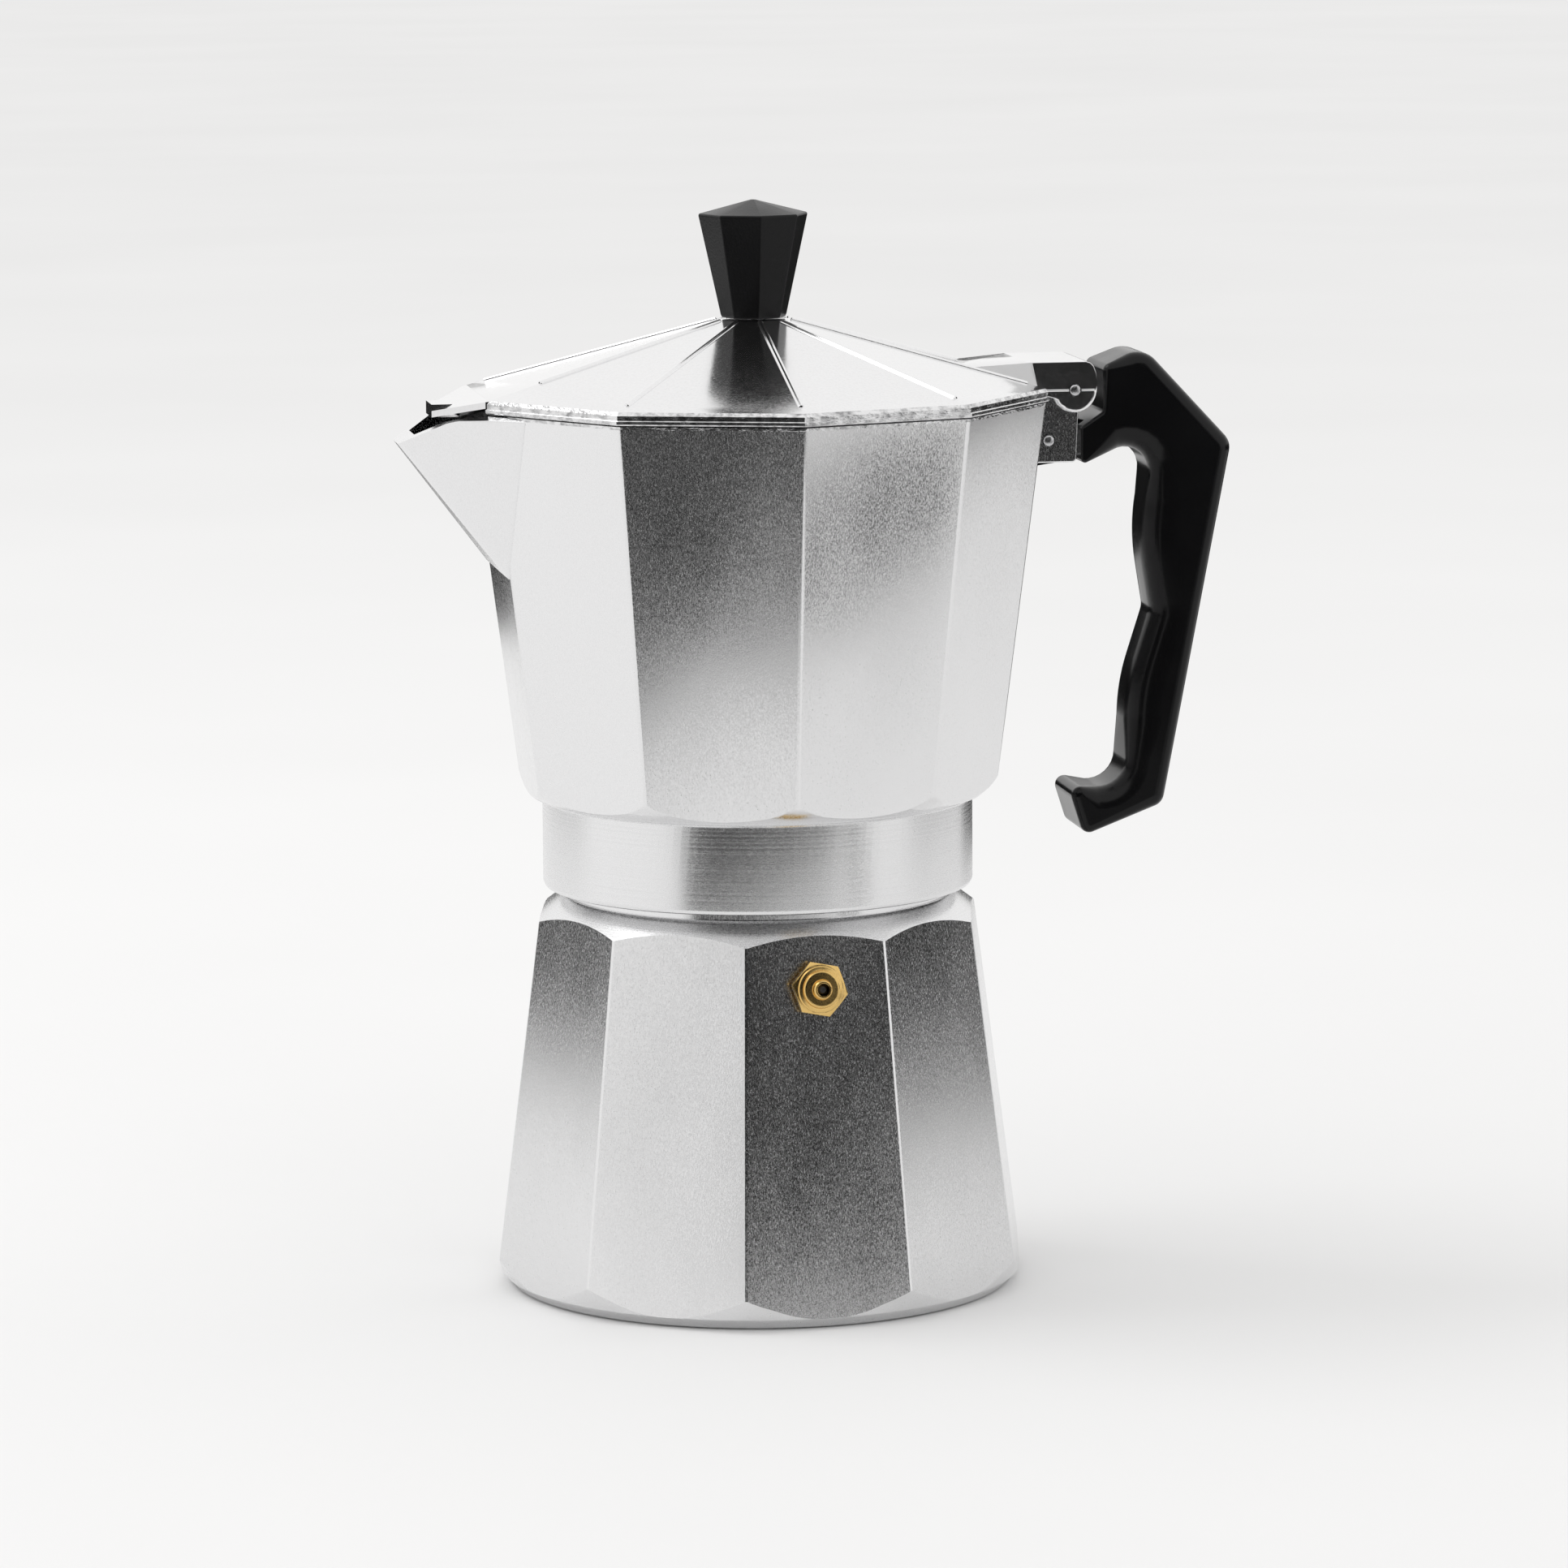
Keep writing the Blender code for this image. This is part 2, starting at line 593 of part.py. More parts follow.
def make_funnel():
    inner = BASKET_R - BASKET_WALL
    neck_bore = TUBE_R + GAP
    neck_out = neck_bore + BASKET_WALL
    low = FUNNEL_LOW - FUNNEL_NECK_H
    step = inner - BASKET_LEDGE
    add_object("funnel", turned([
        (inner, FLANGE_Z + FLANGE_T), (inner, BASKET_FLOOR), (step, BASKET_FLOOR),
        (step, BASKET_FLOOR - BASKET_WALL), (neck_bore, FUNNEL_LOW + BASKET_WALL), (neck_bore, low),
        (neck_out, low), (neck_out, FUNNEL_LOW), (BASKET_R - BASKET_WALL, BASKET_FLOOR - 2 * BASKET_WALL),
        (BASKET_R, BASKET_FLOOR), (BASKET_R, FLANGE_Z), (FLANGE_R, FLANGE_Z),
        (FLANGE_R, FLANGE_Z + FLANGE_T)], 40), "sheet_aluminium")
    add_object("funnel_tube", ring(TUBE_R - TUBE_WALL, TUBE_R, TUBE_END_Z, FUNNEL_LOW - TUBE_END_Z, 20),
               "sheet_aluminium")
    disc("basket_filter", BASKET_FILTER_R, BASKET_FLOOR + GAP, "sheet_aluminium")


# ---------------------------------------------------------------- seal

def make_seal():
    top = GASKET_Z + GASKET_T
    add_object("gasket", turned([(GASKET_BORE, GASKET_Z), (GASKET_R - EDGE, GASKET_Z),
                                 (GASKET_R, GASKET_Z + EDGE), (GASKET_R, top - EDGE), (GASKET_R - EDGE, top),
                                 (GASKET_BORE, top)], 40), "white_rubber")
    disc("filter_plate", PLATE_R, PLATE_Z, "sheet_aluminium")


# ---------------------------------------------------------------- collector

def spout_points(shrink, rise, z_top):
    """Corners of the spout's wedge; shrink moves every wall inwards and rise lifts the keel."""
    foot_z = SPOUT_FOOT_Z + rise
    foot_r = body_corner(SPOUT_FOOT_Z) - shrink
    tip_z = SPOUT_TIP_Z + rise * 0.9
    rim_r = body_corner(z_top) * FLAT - shrink
    offset = body_corner(z_top) * math.sin(HALF_STEP) - SPOUT_SIDE_SHIFT - shrink
    along = math.pi - 2 * HALF_STEP
    keel_run = (SPOUT_TIP_X - body_corner(SPOUT_FOOT_Z) * FLAT) / (SPOUT_TIP_Z - SPOUT_FOOT_Z)
    tip = Vector((-SPOUT_TIP_X + shrink * 1.3, max(SPOUT_TIP_HALF - shrink * 0.55, EDGE), tip_z))
    tip_top = Vector((tip.x - (z_top - tip_z) * keel_run, tip.y, z_top))
    foot = Vector((-foot_r * FLAT, foot_r * math.sin(HALF_STEP), foot_z))
    side = Vector((rim_r * math.cos(along) - offset * math.sin(along),
                   rim_r * math.sin(along) + offset * math.cos(along), z_top))
    root_x, root_y = SPOUT_ROOT
    points = [tip, tip_top, tip.lerp(foot, SPOUT_OVERRUN), tip_top.lerp(side, SPOUT_OVERRUN),
              Vector((-root_x, root_y, foot_z)), Vector((-root_x, root_y, z_top))]
    return both(points)


def lug_outline():
    """Side view of a lug: a boss round the hinge pin that runs down into the wall."""
    root_x = FLAT * body_corner(LUG_LOW_Z) - LUG_ROOT
    shelf_z = RIM_Z - GAP
    points = [(root_x, LUG_LOW_Z), (LUG_END_X - LUG_EDGE, LUG_LOW_Z), (LUG_END_X, LUG_LOW_Z + LUG_EDGE),
              (LUG_END_X + EDGE, PIN_Z - LUG_BOSS_R - LUG_EDGE)]
    for i in range(9):
        angle = math.radians(-60 + 240 * i / 8)
        points.append((PIN_X + LUG_BOSS_R * math.cos(angle), PIN_Z + LUG_BOSS_R * math.sin(angle)))
    points += [(PIN_X - LUG_BOSS_R - 4 * EDGE, shelf_z), (root_x, shelf_z)]
    return points


def body_envelope():
    """Turned shape that rounds the flats' lower corners off into the collar."""
    wide = 0.010
    above = BODY_LOW_Z + 0.0344
    return turned([(0, COLLAR_TOP - OVER / 2), (COLLAR_R, COLLAR_TOP - OVER / 2), (COLLAR_R, COLLAR_TOP),
                   (COLLAR_R + 1.5 * EDGE, COLLAR_TOP + 1.25 * EDGE),
                   (COLLAR_R + BODY_STEP_W * 0.585, COLLAR_TOP + BODY_STEP_H * 0.37),
                   (BODY_LOW_CORNER, BODY_LOW_Z), (BODY_LOW_CORNER + 0.0013, BODY_LOW_Z + 0.0034),
                   (body_corner(above) + wide, above),
                   (RIM_CORNER + 2 * wide, RIM_Z + wide), (0, RIM_Z + wide)])


def make_collector():
    body = faceted([(body_corner(COLLAR_TOP - OVER), COLLAR_TOP - OVER), (RIM_CORNER, RIM_Z)])
    collector = add_object("collector", body, "cast_aluminium", smooth=False)
    keep(collector, add_object("collector_envelope", body_envelope()))
    join(collector, add_object("spout_shape", hull(spout_points(0.0, 0.0, RIM_Z))))
    bevel = 2 * EDGE
    collar = turned([(0, COLLAR_BOTTOM), (COLLAR_R - bevel, COLLAR_BOTTOM), (COLLAR_R, COLLAR_BOTTOM + bevel),
                     (COLLAR_R, COLLAR_TOP + EDGE), (0, COLLAR_TOP + EDGE)])
    join(collector, add_object("collar_shape", collar))
    for sign in (1, -1):
        lug = plate(lug_outline(), sign * LUG_IN, sign * LUG_OUT)
        join(collector, add_object("lug_shape_" + ("left" if sign > 0 else "right"), lug))
    for name, x, z in (("hinge_hole", PIN_X, PIN_Z), ("rivet_hole", RIVET_X, RIVET_Z)):
        cut(collector, add_object(name, rod(PIN_R + PIN_PLAY, LUG_OUT + OVER, x, z)))
    cove_top = BODY_FLOOR + BOWL_COVE
    mouth_z = RIM_Z + 2 * OVER
    bowl = faceted([(body_corner(BODY_FLOOR) - BODY_WALL - BOWL_COVE, BODY_FLOOR),
                    (body_corner(cove_top) - BODY_WALL - 2 * EDGE, cove_top),
                    (body_corner(mouth_z) - BODY_WALL, mouth_z)])
    cut(collector, add_object("bowl_shape", bowl))
    channel = hull(spout_points(BODY_WALL, BODY_WALL * 1.1, RIM_Z + OVER))
    cut(collector, add_object("spout_channel", channel))
    cut(collector, add_object("lip_cut", lip_cutter()))
    cut(collector, add_object("collar_bore", turned(collar_bore())))
    set_origin(collector, (0, 0, COLLAR_BOTTOM))


def lip_cutter():
    """Takes the rim down over the spout, level behind the lip and then sloping to the tip."""
    lip_x = SPOUT_TIP_X - LIP_LENGTH
    lip_z = RIM_Z - LIP_DROP
    slope = (lip_z - SPOUT_TIP_Z - EDGE) / LIP_LENGTH
    far = LIP_LENGTH + 2 * OVER
    crest = RIM_Z + OVER
    near_x = lip_x - LIP_STEP
    return plate([(-near_x, crest), (-near_x, RIM_Z - LIP_DROP / 2), (-lip_x, lip_z),
                  (-lip_x - far, lip_z - slope * far), (-lip_x - far, crest)], -RIM_CORNER, RIM_CORNER)


def collar_bore():
    """Thread bore, gasket seat, filter plate's recess, domed underside and the column's socket."""
    thread_r = NECK_R + THREAD_PLAY
    seat_r = GASKET_R + GAP
    recess_r = PLATE_R + GAP
    socket_r = COLUMN_BASE_R + GAP
    bevel = EDGE / 2
    low = COLLAR_BOTTOM - OVER
    high = BODY_FLOOR + OVER
    return [(0, low), (thread_r, low), (thread_r, GASKET_Z - bevel), (seat_r, GASKET_Z + bevel),
            (seat_r, PLATE_Z), (recess_r, PLATE_Z), (recess_r, RECESS_TOP),
            (recess_r - DOME_EDGE, RECESS_TOP), (socket_r, BODY_FLOOR - SEAT_WEB), (socket_r, high), (0, high)]


def make_column():
    foot = BODY_FLOOR - SEAT_WEB
    shelf = BODY_FLOOR + GAP
    top = COLUMN_TOP_Z
    round_h = 0.0015
    column = add_object("column", turned([
        (COLUMN_BORE, foot), (COLUMN_BASE_R, foot), (COLUMN_BASE_R, shelf), (COLUMN_FLANGE_R, shelf),
        (COLUMN_FLANGE_R - 2 * EDGE, shelf + COLUMN_FLANGE_H / 2), (COLUMN_BASE_R, shelf + COLUMN_FLANGE_H),
        (COLUMN_TOP_R, top - round_h), (COLUMN_TOP_R - round_h, top), (0, top), (0, top - COLUMN_CAP_T),
        (COLUMN_BORE, top - COLUMN_CAP_T - 2 * EDGE)], 24), "cast_aluminium")
    slot_z = top - COLUMN_SLOT_DROP - COLUMN_SLOT_H
    reach = COLUMN_BASE_R + OVER
    slot = box((-reach, -COLUMN_SLOT_HALF, slot_z), (reach, COLUMN_SLOT_HALF, slot_z + COLUMN_SLOT_H))
    cut(column, add_object("column_slot", slot))
    set_origin(column, (0, 0, foot))


# ---------------------------------------------------------------- lid

def make_lid():
    shell = faceted([(LID_CORNER, SKIRT_Z), (LID_CORNER, LID_RIM_Z), (LID_FLAT_R, LID_SEAT_Z)])
    lid = add_object("lid", shell, "sheet_aluminium", smooth=False)
    add_tongue(lid)
    add_hinge(lid)
    inside = LID_CORNER - LID_T
    hollow = faceted([(inside, SKIRT_Z - OVER), (inside, LID_RIM_Z - LID_T * 0.8),
                      (LID_FLAT_R, LID_SEAT_Z - LID_T * 1.05)])
    cut(lid, add_object("lid_hollow", hollow))
    crown = KNOB_Z + OVER
    hole = turned([(0, SKIRT_Z), (SCREW_BORE, SKIRT_Z), (SCREW_BORE, crown), (0, crown)], SMALL)
    cut(lid, add_object("lid_screw_hole", hole))
    cut(lid, add_object("ear_hole", rod(PIN_R + PIN_PLAY, EAR_OUT + OVER, PIN_X, PIN_Z)))
    set_origin(lid, (PIN_X, 0, PIN_Z))


def add_tongue(lid):
    """The flap over the spout; the skirt is cut away under it."""
    corner_x = LID_CORNER * FLAT
    corner_y = LID_CORNER * math.sin(HALF_STEP)
    gap_y = corner_y - SKIRT_GAP_EDGE
    gap_cut = box((-SPOUT_TIP_X, -gap_y, SKIRT_Z - OVER),
                  (-corner_x + 5 * EDGE, gap_y, LID_RIM_Z - LID_T * 0.9))
    cut(lid, add_object("skirt_gap", gap_cut))
    end_z = LID_RIM_Z - TONGUE_DROP
    crease_y = corner_y - EDGE / 2
    top = [(-corner_x + OVER, crease_y, LID_RIM_Z + 1.5 * EDGE), (-corner_x, crease_y, LID_RIM_Z),
           (-TONGUE_END_X + BEAK_L, TONGUE_HALF, end_z), (-TONGUE_END_X, TONGUE_HALF, end_z)]
    low = [(x, y, z - LID_T) for x, y, z in top]
    join(lid, add_object("tongue_shape", hull(both(top + low))))
    beak = box((-TONGUE_END_X, -TONGUE_HALF, end_z - LID_T),
               (-TONGUE_END_X + BEAK_L, TONGUE_HALF, end_z + BEAK_H))
    join(lid, add_object("beak_shape", beak))


def bridge_side():
    """Side view of the channel's end, from its top round to the ears' lower end."""
    points = [(BRIDGE_END_X - back, BRIDGE_TOP - down) for back, down in BRIDGE_ROUND]
    for i in range(7):
        angle = math.radians(10 - 170 * i / 6)
        points.append((PIN_X + EAR_R * math.cos(angle), PIN_Z + EAR_R * math.sin(angle)))
    return points


def add_hinge(lid):
    """The ramp on the rear facet, and the channel whose two ears hold the pin."""
    rim_x = LID_CORNER * FLAT
    start_r = RAMP_START_X / FLAT
    start_half = start_r * math.sin(HALF_STEP) * 0.92
    end_x = rim_x - 5 * EDGE
    end_r = end_x / FLAT
    end_half = end_r * math.sin(HALF_STEP) * 0.97
    wedge = both([(RAMP_START_X, start_half, lid_height(start_r) - RAMP_SINK), (end_x, EAR_OUT, BRIDGE_TOP),
                  (end_x, end_half, lid_height(end_r) - RAMP_SINK),
                  (RAMP_START_X + 5 * EDGE, 0.0, BRIDGE_TOP - RAMP_SINK)])
    join(lid, add_object("ramp_shape", hull(wedge)))
    side = [(end_x - EDGE, BRIDGE_TOP)] + bridge_side() + [(end_x - EDGE, SKIRT_Z + LID_T)]
    join(lid, add_object("ear_shape", plate(side, -EAR_OUT, EAR_OUT)))
    clear = box((rim_x - LID_T, -EAR_IN, LUG_LOW_Z), (BRIDGE_END_X + OVER, EAR_IN, BRIDGE_TOP - BRIDGE_T))
    cut(lid, add_object("hinge_clearance", clear))


def make_pins():
    add_object("hinge_pin", rod(PIN_R, EAR_OUT + PIN_HEAD, PIN_X, PIN_Z), "steel")
    add_object("handle_pin", rod(PIN_R, LUG_OUT + PIN_HEAD, RIVET_X, RIVET_Z), "steel")


# ---------------------------------------------------------------- handle

def handle_outline():
    """Side view of the handle: (x, z, corner radius), clockwise from its lower front corner."""
    front = LUG_END_X + HANDLE_FRONT_GAP
    swing = max(math.hypot(x - PIN_X, z - PIN_Z) for x, z in bridge_side())
    clear_x = PIN_X + swing + GAP                  # the lid's channel turns inside this
    top = RIM_Z + HANDLE_RISE
    elbow = RIM_Z - ELBOW_DROP
    low = RIM_Z - GRIP_DROP
    inner = PIN_X + GRIP_INSET
    finger_z = RIM_Z - FINGER_RISE
    return [
        (front, RIM_Z - LUG_DROP + GAP, 0.0006), (front, RIM_Z - 0.0056, 0.0008),
        (clear_x, RIM_Z - 0.0026, 0.0010), (clear_x, top - 0.0024, 0.0008), (PIN_X + 0.0117, top, 0.0045),
        (PIN_X + HANDLE_REACH, elbow, 0.0032), (PIN_X + GRIP_FOOT, low + 0.0053, 0.0022),
        (PIN_X + 0.0023, low, 0.0012), (PIN_X - 0.0008, low + 0.0106, 0.0010),
        (PIN_X + 0.0083, low + 0.0095, 0.0060), (PIN_X + 0.0086, finger_z - 0.0150, 0.0300),
        (inner - 0.0007, finger_z, 0.0030), (inner - 0.0027, finger_z + 0.0150, 0.0300),
        (inner, elbow + 0.0011, 0.0036)]


def make_handle():
    grip = plate(filleted(handle_outline()), -HANDLE_HALF, HANDLE_HALF)
    handle = add_object("handle", grip, "black_plastic")
    round_edges(handle, HANDLE_ROUND, 2, angle=70.0)
    shoulder_z = RIVET_Z + 0.0028
    back_x = FLAT * body_corner(shoulder_z) + GAP
    inside_x = LUG_END_X + HANDLE_FRONT_GAP + 0.0035
    joint = plate([(back_x, RIVET_Z - 0.0047), (inside_x, RIVET_Z - 0.0035), (inside_x, shoulder_z),
                   (RIVET_X + 0.0026, RIVET_Z + 0.0048), (back_x, shoulder_z)], -JOINT_HALF, JOINT_HALF)
    join(handle, add_object("handle_joint", joint))
    cut(handle, add_object("handle_pin_hole", rod(PIN_R + PIN_PLAY, HANDLE_HALF + OVER, RIVET_X, RIVET_Z)))
    set_origin(handle, (RIVET_X, 0, RIVET_Z))


# ---------------------------------------------------------------- knob

def make_knob():
    top = KNOB_Z + KNOB_H
    knob = add_object("knob", faceted([
        (KNOB_LOW_R * 0.96, KNOB_Z), (KNOB_LOW_R, KNOB_Z + 1.5 * EDGE), (KNOB_TOP_R, top),
        (KNOB_TOP_R * 0.985, top + GAP), (EDGE, top + KNOB_PEAK)],
        sides=KNOB_SIDES, turn=KNOB_TURN), "black_plastic", smooth=False)
    bore_top = KNOB_Z + SCREW_GRIP + SCREW_R / 2
    bore = turned([(0, SKIRT_Z), (SCREW_BORE, SKIRT_Z), (SCREW_BORE, bore_top), (0, bore_top + SCREW_R / 2)],
                  SMALL)
    cut(knob, add_object("knob_bore", bore))
    set_origin(knob, (0, 0, KNOB_Z))
    washer_top = LID_SEAT_Z - LID_T * 1.05 - GAP
    washer_z = washer_top - KNOB_WASHER_T
    add_object("knob_washer", ring(SCREW_BORE, KNOB_WASHER_R, washer_z, KNOB_WASHER_T, 20), "steel")
    head_top = washer_z - GAP
    head_z = head_top - SCREW_HEAD_T
    screw_top = KNOB_Z + SCREW_GRIP
    shape = turned([(0, head_z), (SCREW_HEAD_R * 0.7, head_z), (SCREW_HEAD_R, head_z + 2 * EDGE),
                    (SCREW_HEAD_R, head_top), (SCREW_R, head_top), (SCREW_R, screw_top - EDGE),
                    (SCREW_R - EDGE, screw_top), (0, screw_top)], SMALL)
    screw = add_object("knob_screw", shape, "steel")
    reach = SCREW_HEAD_R + OVER
    slot = box((-reach, -EDGE, head_z - OVER), (reach, EDGE, head_z + SCREW_SLOT))
    cut(screw, add_object("screw_slot", slot))


def main():
    clear_scene()
    make_boiler()
    make_valve()
    make_funnel()
    make_seal()
    make_collector()
    make_column()
    make_lid()
    make_pins()
    make_handle()
    make_knob()


main()
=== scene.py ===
import json
import math

import bpy
from mathutils import Matrix, Vector


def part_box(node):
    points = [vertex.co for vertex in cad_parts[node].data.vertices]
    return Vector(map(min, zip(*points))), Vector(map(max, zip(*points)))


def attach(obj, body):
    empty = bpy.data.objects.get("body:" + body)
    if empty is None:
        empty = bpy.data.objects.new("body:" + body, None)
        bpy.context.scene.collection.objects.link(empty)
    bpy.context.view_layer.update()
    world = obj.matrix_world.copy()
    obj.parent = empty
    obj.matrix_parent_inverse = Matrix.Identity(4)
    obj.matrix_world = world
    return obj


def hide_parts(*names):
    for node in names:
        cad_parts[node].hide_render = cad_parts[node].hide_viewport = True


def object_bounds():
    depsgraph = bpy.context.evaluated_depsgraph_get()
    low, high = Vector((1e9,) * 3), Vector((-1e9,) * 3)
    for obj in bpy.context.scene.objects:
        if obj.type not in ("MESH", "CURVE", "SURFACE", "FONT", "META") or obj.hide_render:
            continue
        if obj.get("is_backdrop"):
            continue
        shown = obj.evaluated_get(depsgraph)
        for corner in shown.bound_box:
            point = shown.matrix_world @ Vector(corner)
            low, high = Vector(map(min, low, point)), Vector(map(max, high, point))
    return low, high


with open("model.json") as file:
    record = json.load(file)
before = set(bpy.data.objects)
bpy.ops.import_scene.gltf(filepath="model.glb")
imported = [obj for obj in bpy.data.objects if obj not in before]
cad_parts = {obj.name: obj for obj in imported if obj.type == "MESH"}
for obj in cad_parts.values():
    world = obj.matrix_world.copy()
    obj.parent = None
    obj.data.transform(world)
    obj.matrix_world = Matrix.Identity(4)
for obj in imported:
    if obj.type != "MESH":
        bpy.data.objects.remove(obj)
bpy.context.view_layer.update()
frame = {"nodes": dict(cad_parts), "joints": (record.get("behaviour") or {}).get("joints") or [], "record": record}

mm = 0.001
sides = 10                                    # facets round the pot
halfStep = math.pi / sides
flatShare = math.cos(halfStep)                # mid-facet radius per corner radius
holePlay = 0.12 * mm                          # a pin hole's radius beyond its pin's
barReach = 30 * mm                            # a drilling bar's half length


def jointNamed(name):
    return next(joint for joint in frame["joints"] if joint["name"] == name)


# operators and selection

def deselectAll():
    if bpy.context.mode != "OBJECT":
        bpy.ops.object.mode_set(mode="OBJECT")
    bpy.ops.object.select_all(action="DESELECT")


def focus(piece):
    deselectAll()
    piece.select_set(True)
    bpy.context.view_layer.objects.active = piece


def startEdit(kind="VERT"):
    bpy.ops.object.mode_set(mode="EDIT")
    bpy.ops.mesh.select_mode(type=kind)


def endEdit():
    bpy.ops.object.mode_set(mode="OBJECT")


def pick(piece, kind, test):
    # select vertices, edges or faces by a test on their middle (and a face's normal), then open edit mode
    focus(piece)
    mesh = piece.data
    bpy.context.tool_settings.mesh_select_mode = (kind == "VERT", kind == "EDGE", kind == "FACE")
    for group in (mesh.vertices, mesh.edges, mesh.polygons):
        group.foreach_set("select", [False] * len(group))
    points = [v.co for v in mesh.vertices]
    if kind == "VERT":
        for v in mesh.vertices:
            v.select = test(v.co)
    elif kind == "EDGE":
        for edge in mesh.edges:
            a, b = (points[i] for i in edge.vertices)
            edge.select = test(a, b)
            if edge.select:
                for i in edge.vertices:
                    mesh.vertices[i].select = True
    else:
        for face in mesh.polygons:
            face.select = test(face.center, face.normal)
    bpy.ops.object.mode_set(mode="EDIT")


def startPoint(name, x, y, z):
    # one vertex to extrude from
    deselectAll()
    bpy.ops.mesh.primitive_plane_add(size=mm)
    piece = bpy.context.object
    piece.name = name
    piece.data.name = name
    startEdit()
    bpy.ops.mesh.select_all(action="SELECT")
    bpy.ops.mesh.merge(type="CENTER")
    bpy.ops.transform.translate(value=(x, y, z))
    return piece


def drawChain(points):
    # extrude the selected vertex from point to point
    for a, b in zip(points, points[1:]):
        step = tuple(q - p for p, q in zip(a, b))
        bpy.ops.mesh.extrude_vertices_move(TRANSFORM_OT_translate={"value": step})


def cleanMesh(merge=1e-6):
    bpy.ops.mesh.select_all(action="SELECT")
    bpy.ops.mesh.remove_doubles(threshold=merge)
    bpy.ops.mesh.normals_make_consistent(inside=False)
    endEdit()


def turned(name, profile, steps=96):
    # spin an outline of (radius, height) points about Z; an outline off the axis is closed first
    points = [(r, 0.0, z) for r, z in profile]
    if profile[0][0] > 0:
        points.append(points[0])
    piece = startPoint(name, *points[0])
    drawChain(points)
    bpy.ops.mesh.select_all(action="SELECT")
    bpy.ops.mesh.spin(steps=steps, angle=math.tau, center=(0, 0, 0), axis=(0, 0, 1))
    cleanMesh()
    return piece


def faceted(name, rings, count=sides, turn=halfStep):
    # a polygon base extruded up through rings of (corner radius, height)
    radius, height = rings[0]
    deselectAll()
    bpy.ops.mesh.primitive_circle_add(vertices=count, radius=radius, fill_type="NGON",
                                      location=(0, 0, height))
    piece = bpy.context.object
    piece.name = name
    piece.data.name = name
    firstAngle = math.atan2(piece.data.vertices[0].co.y, piece.data.vertices[0].co.x)
    piece.rotation_euler.z = turn - firstAngle
    bpy.ops.object.transform_apply(location=True, rotation=True, scale=True)
    startEdit("FACE")
    bpy.ops.mesh.select_all(action="SELECT")
    for nextRadius, nextHeight in rings[1:]:
        bpy.ops.mesh.extrude_region_move(TRANSFORM_OT_translate={"value": (0, 0, nextHeight - height)})
        grow = nextRadius / radius
        bpy.ops.transform.resize(value=(grow, grow, 1), center_override=(0, 0, nextHeight))
        radius, height = nextRadius, nextHeight
    cleanMesh(1e-7)
    return piece


def outlined(name, points, yFrom, yTo):
    # a closed outline of (x, z) points extruded along Y
    chain = [(x, yFrom, z) for x, z in points]
    piece = startPoint(name, *chain[0])
    drawChain(chain)
    bpy.ops.mesh.select_all(action="SELECT")
    bpy.ops.mesh.edge_face_add()
    bpy.ops.mesh.extrude_region_move(TRANSFORM_OT_translate={"value": (0, yTo - yFrom, 0)})
    cleanMesh(1e-8)
    return piece


def wrapped(name, points):
    # the convex hull of a few points
    piece = startPoint(name, *points[0])
    drawChain(points)
    bpy.ops.mesh.select_all(action="SELECT")
    bpy.ops.mesh.convex_hull()
    bpy.ops.mesh.select_all(action="DESELECT")
    bpy.ops.mesh.select_loose()
    bpy.ops.mesh.delete(type="VERT")
    bpy.ops.mesh.select_all(action="SELECT")
    bpy.ops.mesh.dissolve_limited(angle_limit=math.radians(0.5))
    cleanMesh(1e-8)
    return piece


def block(name, low, high):
    middle = [(a + b) / 2 for a, b in zip(low, high)]
    deselectAll()
    bpy.ops.mesh.primitive_cube_add(size=1, location=middle)
    piece = bpy.context.object
    piece.name = name
    piece.scale = [b - a for a, b in zip(low, high)]
    bpy.ops.object.transform_apply(location=True, rotation=True, scale=True)
    return piece


def bar(name, radius, yFrom, yTo, x, z, count=32):
    # a round bar along Y
    deselectAll()
    bpy.ops.mesh.primitive_cylinder_add(vertices=count, radius=radius, depth=yTo - yFrom,
                                        location=(x, (yFrom + yTo) / 2, z), rotation=(math.pi / 2, 0, 0))
    piece = bpy.context.object
    piece.name = name
    bpy.ops.object.transform_apply(location=True, rotation=True, scale=True)
    return piece


def mirrored(points):
    return [(x, sign * y, z) for sign in (1, -1) for x, y, z in points]


def combine(piece, tool, operation):
    modifier = piece.modifiers.new("combine", "BOOLEAN")
    modifier.operation = operation
    modifier.solver = "EXACT"
    modifier.object = tool
    focus(piece)
    bpy.ops.object.modifier_apply(modifier=modifier.name)
    bpy.data.objects.remove(tool)
    return piece


def cut(piece, tool):
    return combine(piece, tool, "DIFFERENCE")


def join(piece, tool):
    return combine(piece, tool, "UNION")


def softenEdges(piece, width, segments=2, angle=25):
    modifier = piece.modifiers.new("soften", "BEVEL")
    modifier.width = width
    modifier.segments = segments
    modifier.limit_method = "ANGLE"
    modifier.angle_limit = math.radians(angle)
    modifier.miter_outer = "MITER_ARC"
    focus(piece)
    bpy.ops.object.modifier_apply(modifier=modifier.name)


def shadeRound(piece, angle=30):
    focus(piece)
    bpy.ops.object.shade_smooth_by_angle(angle=math.radians(angle))
    modifier = piece.modifiers.new("weighted", "WEIGHTED_NORMAL")
    modifier.keep_sharp = True
    modifier.weight = 100
    bpy.ops.object.modifier_apply(modifier=modifier.name)


def arcPoints(centre, radius, start, end, count):
    # points of an arc in degrees, ends included
    found = []
    for i in range(count + 1):
        angle = math.radians(start + (end - start) * i / count)
        found.append((centre[0] + radius * math.cos(angle), centre[1] + radius * math.sin(angle)))
    return found


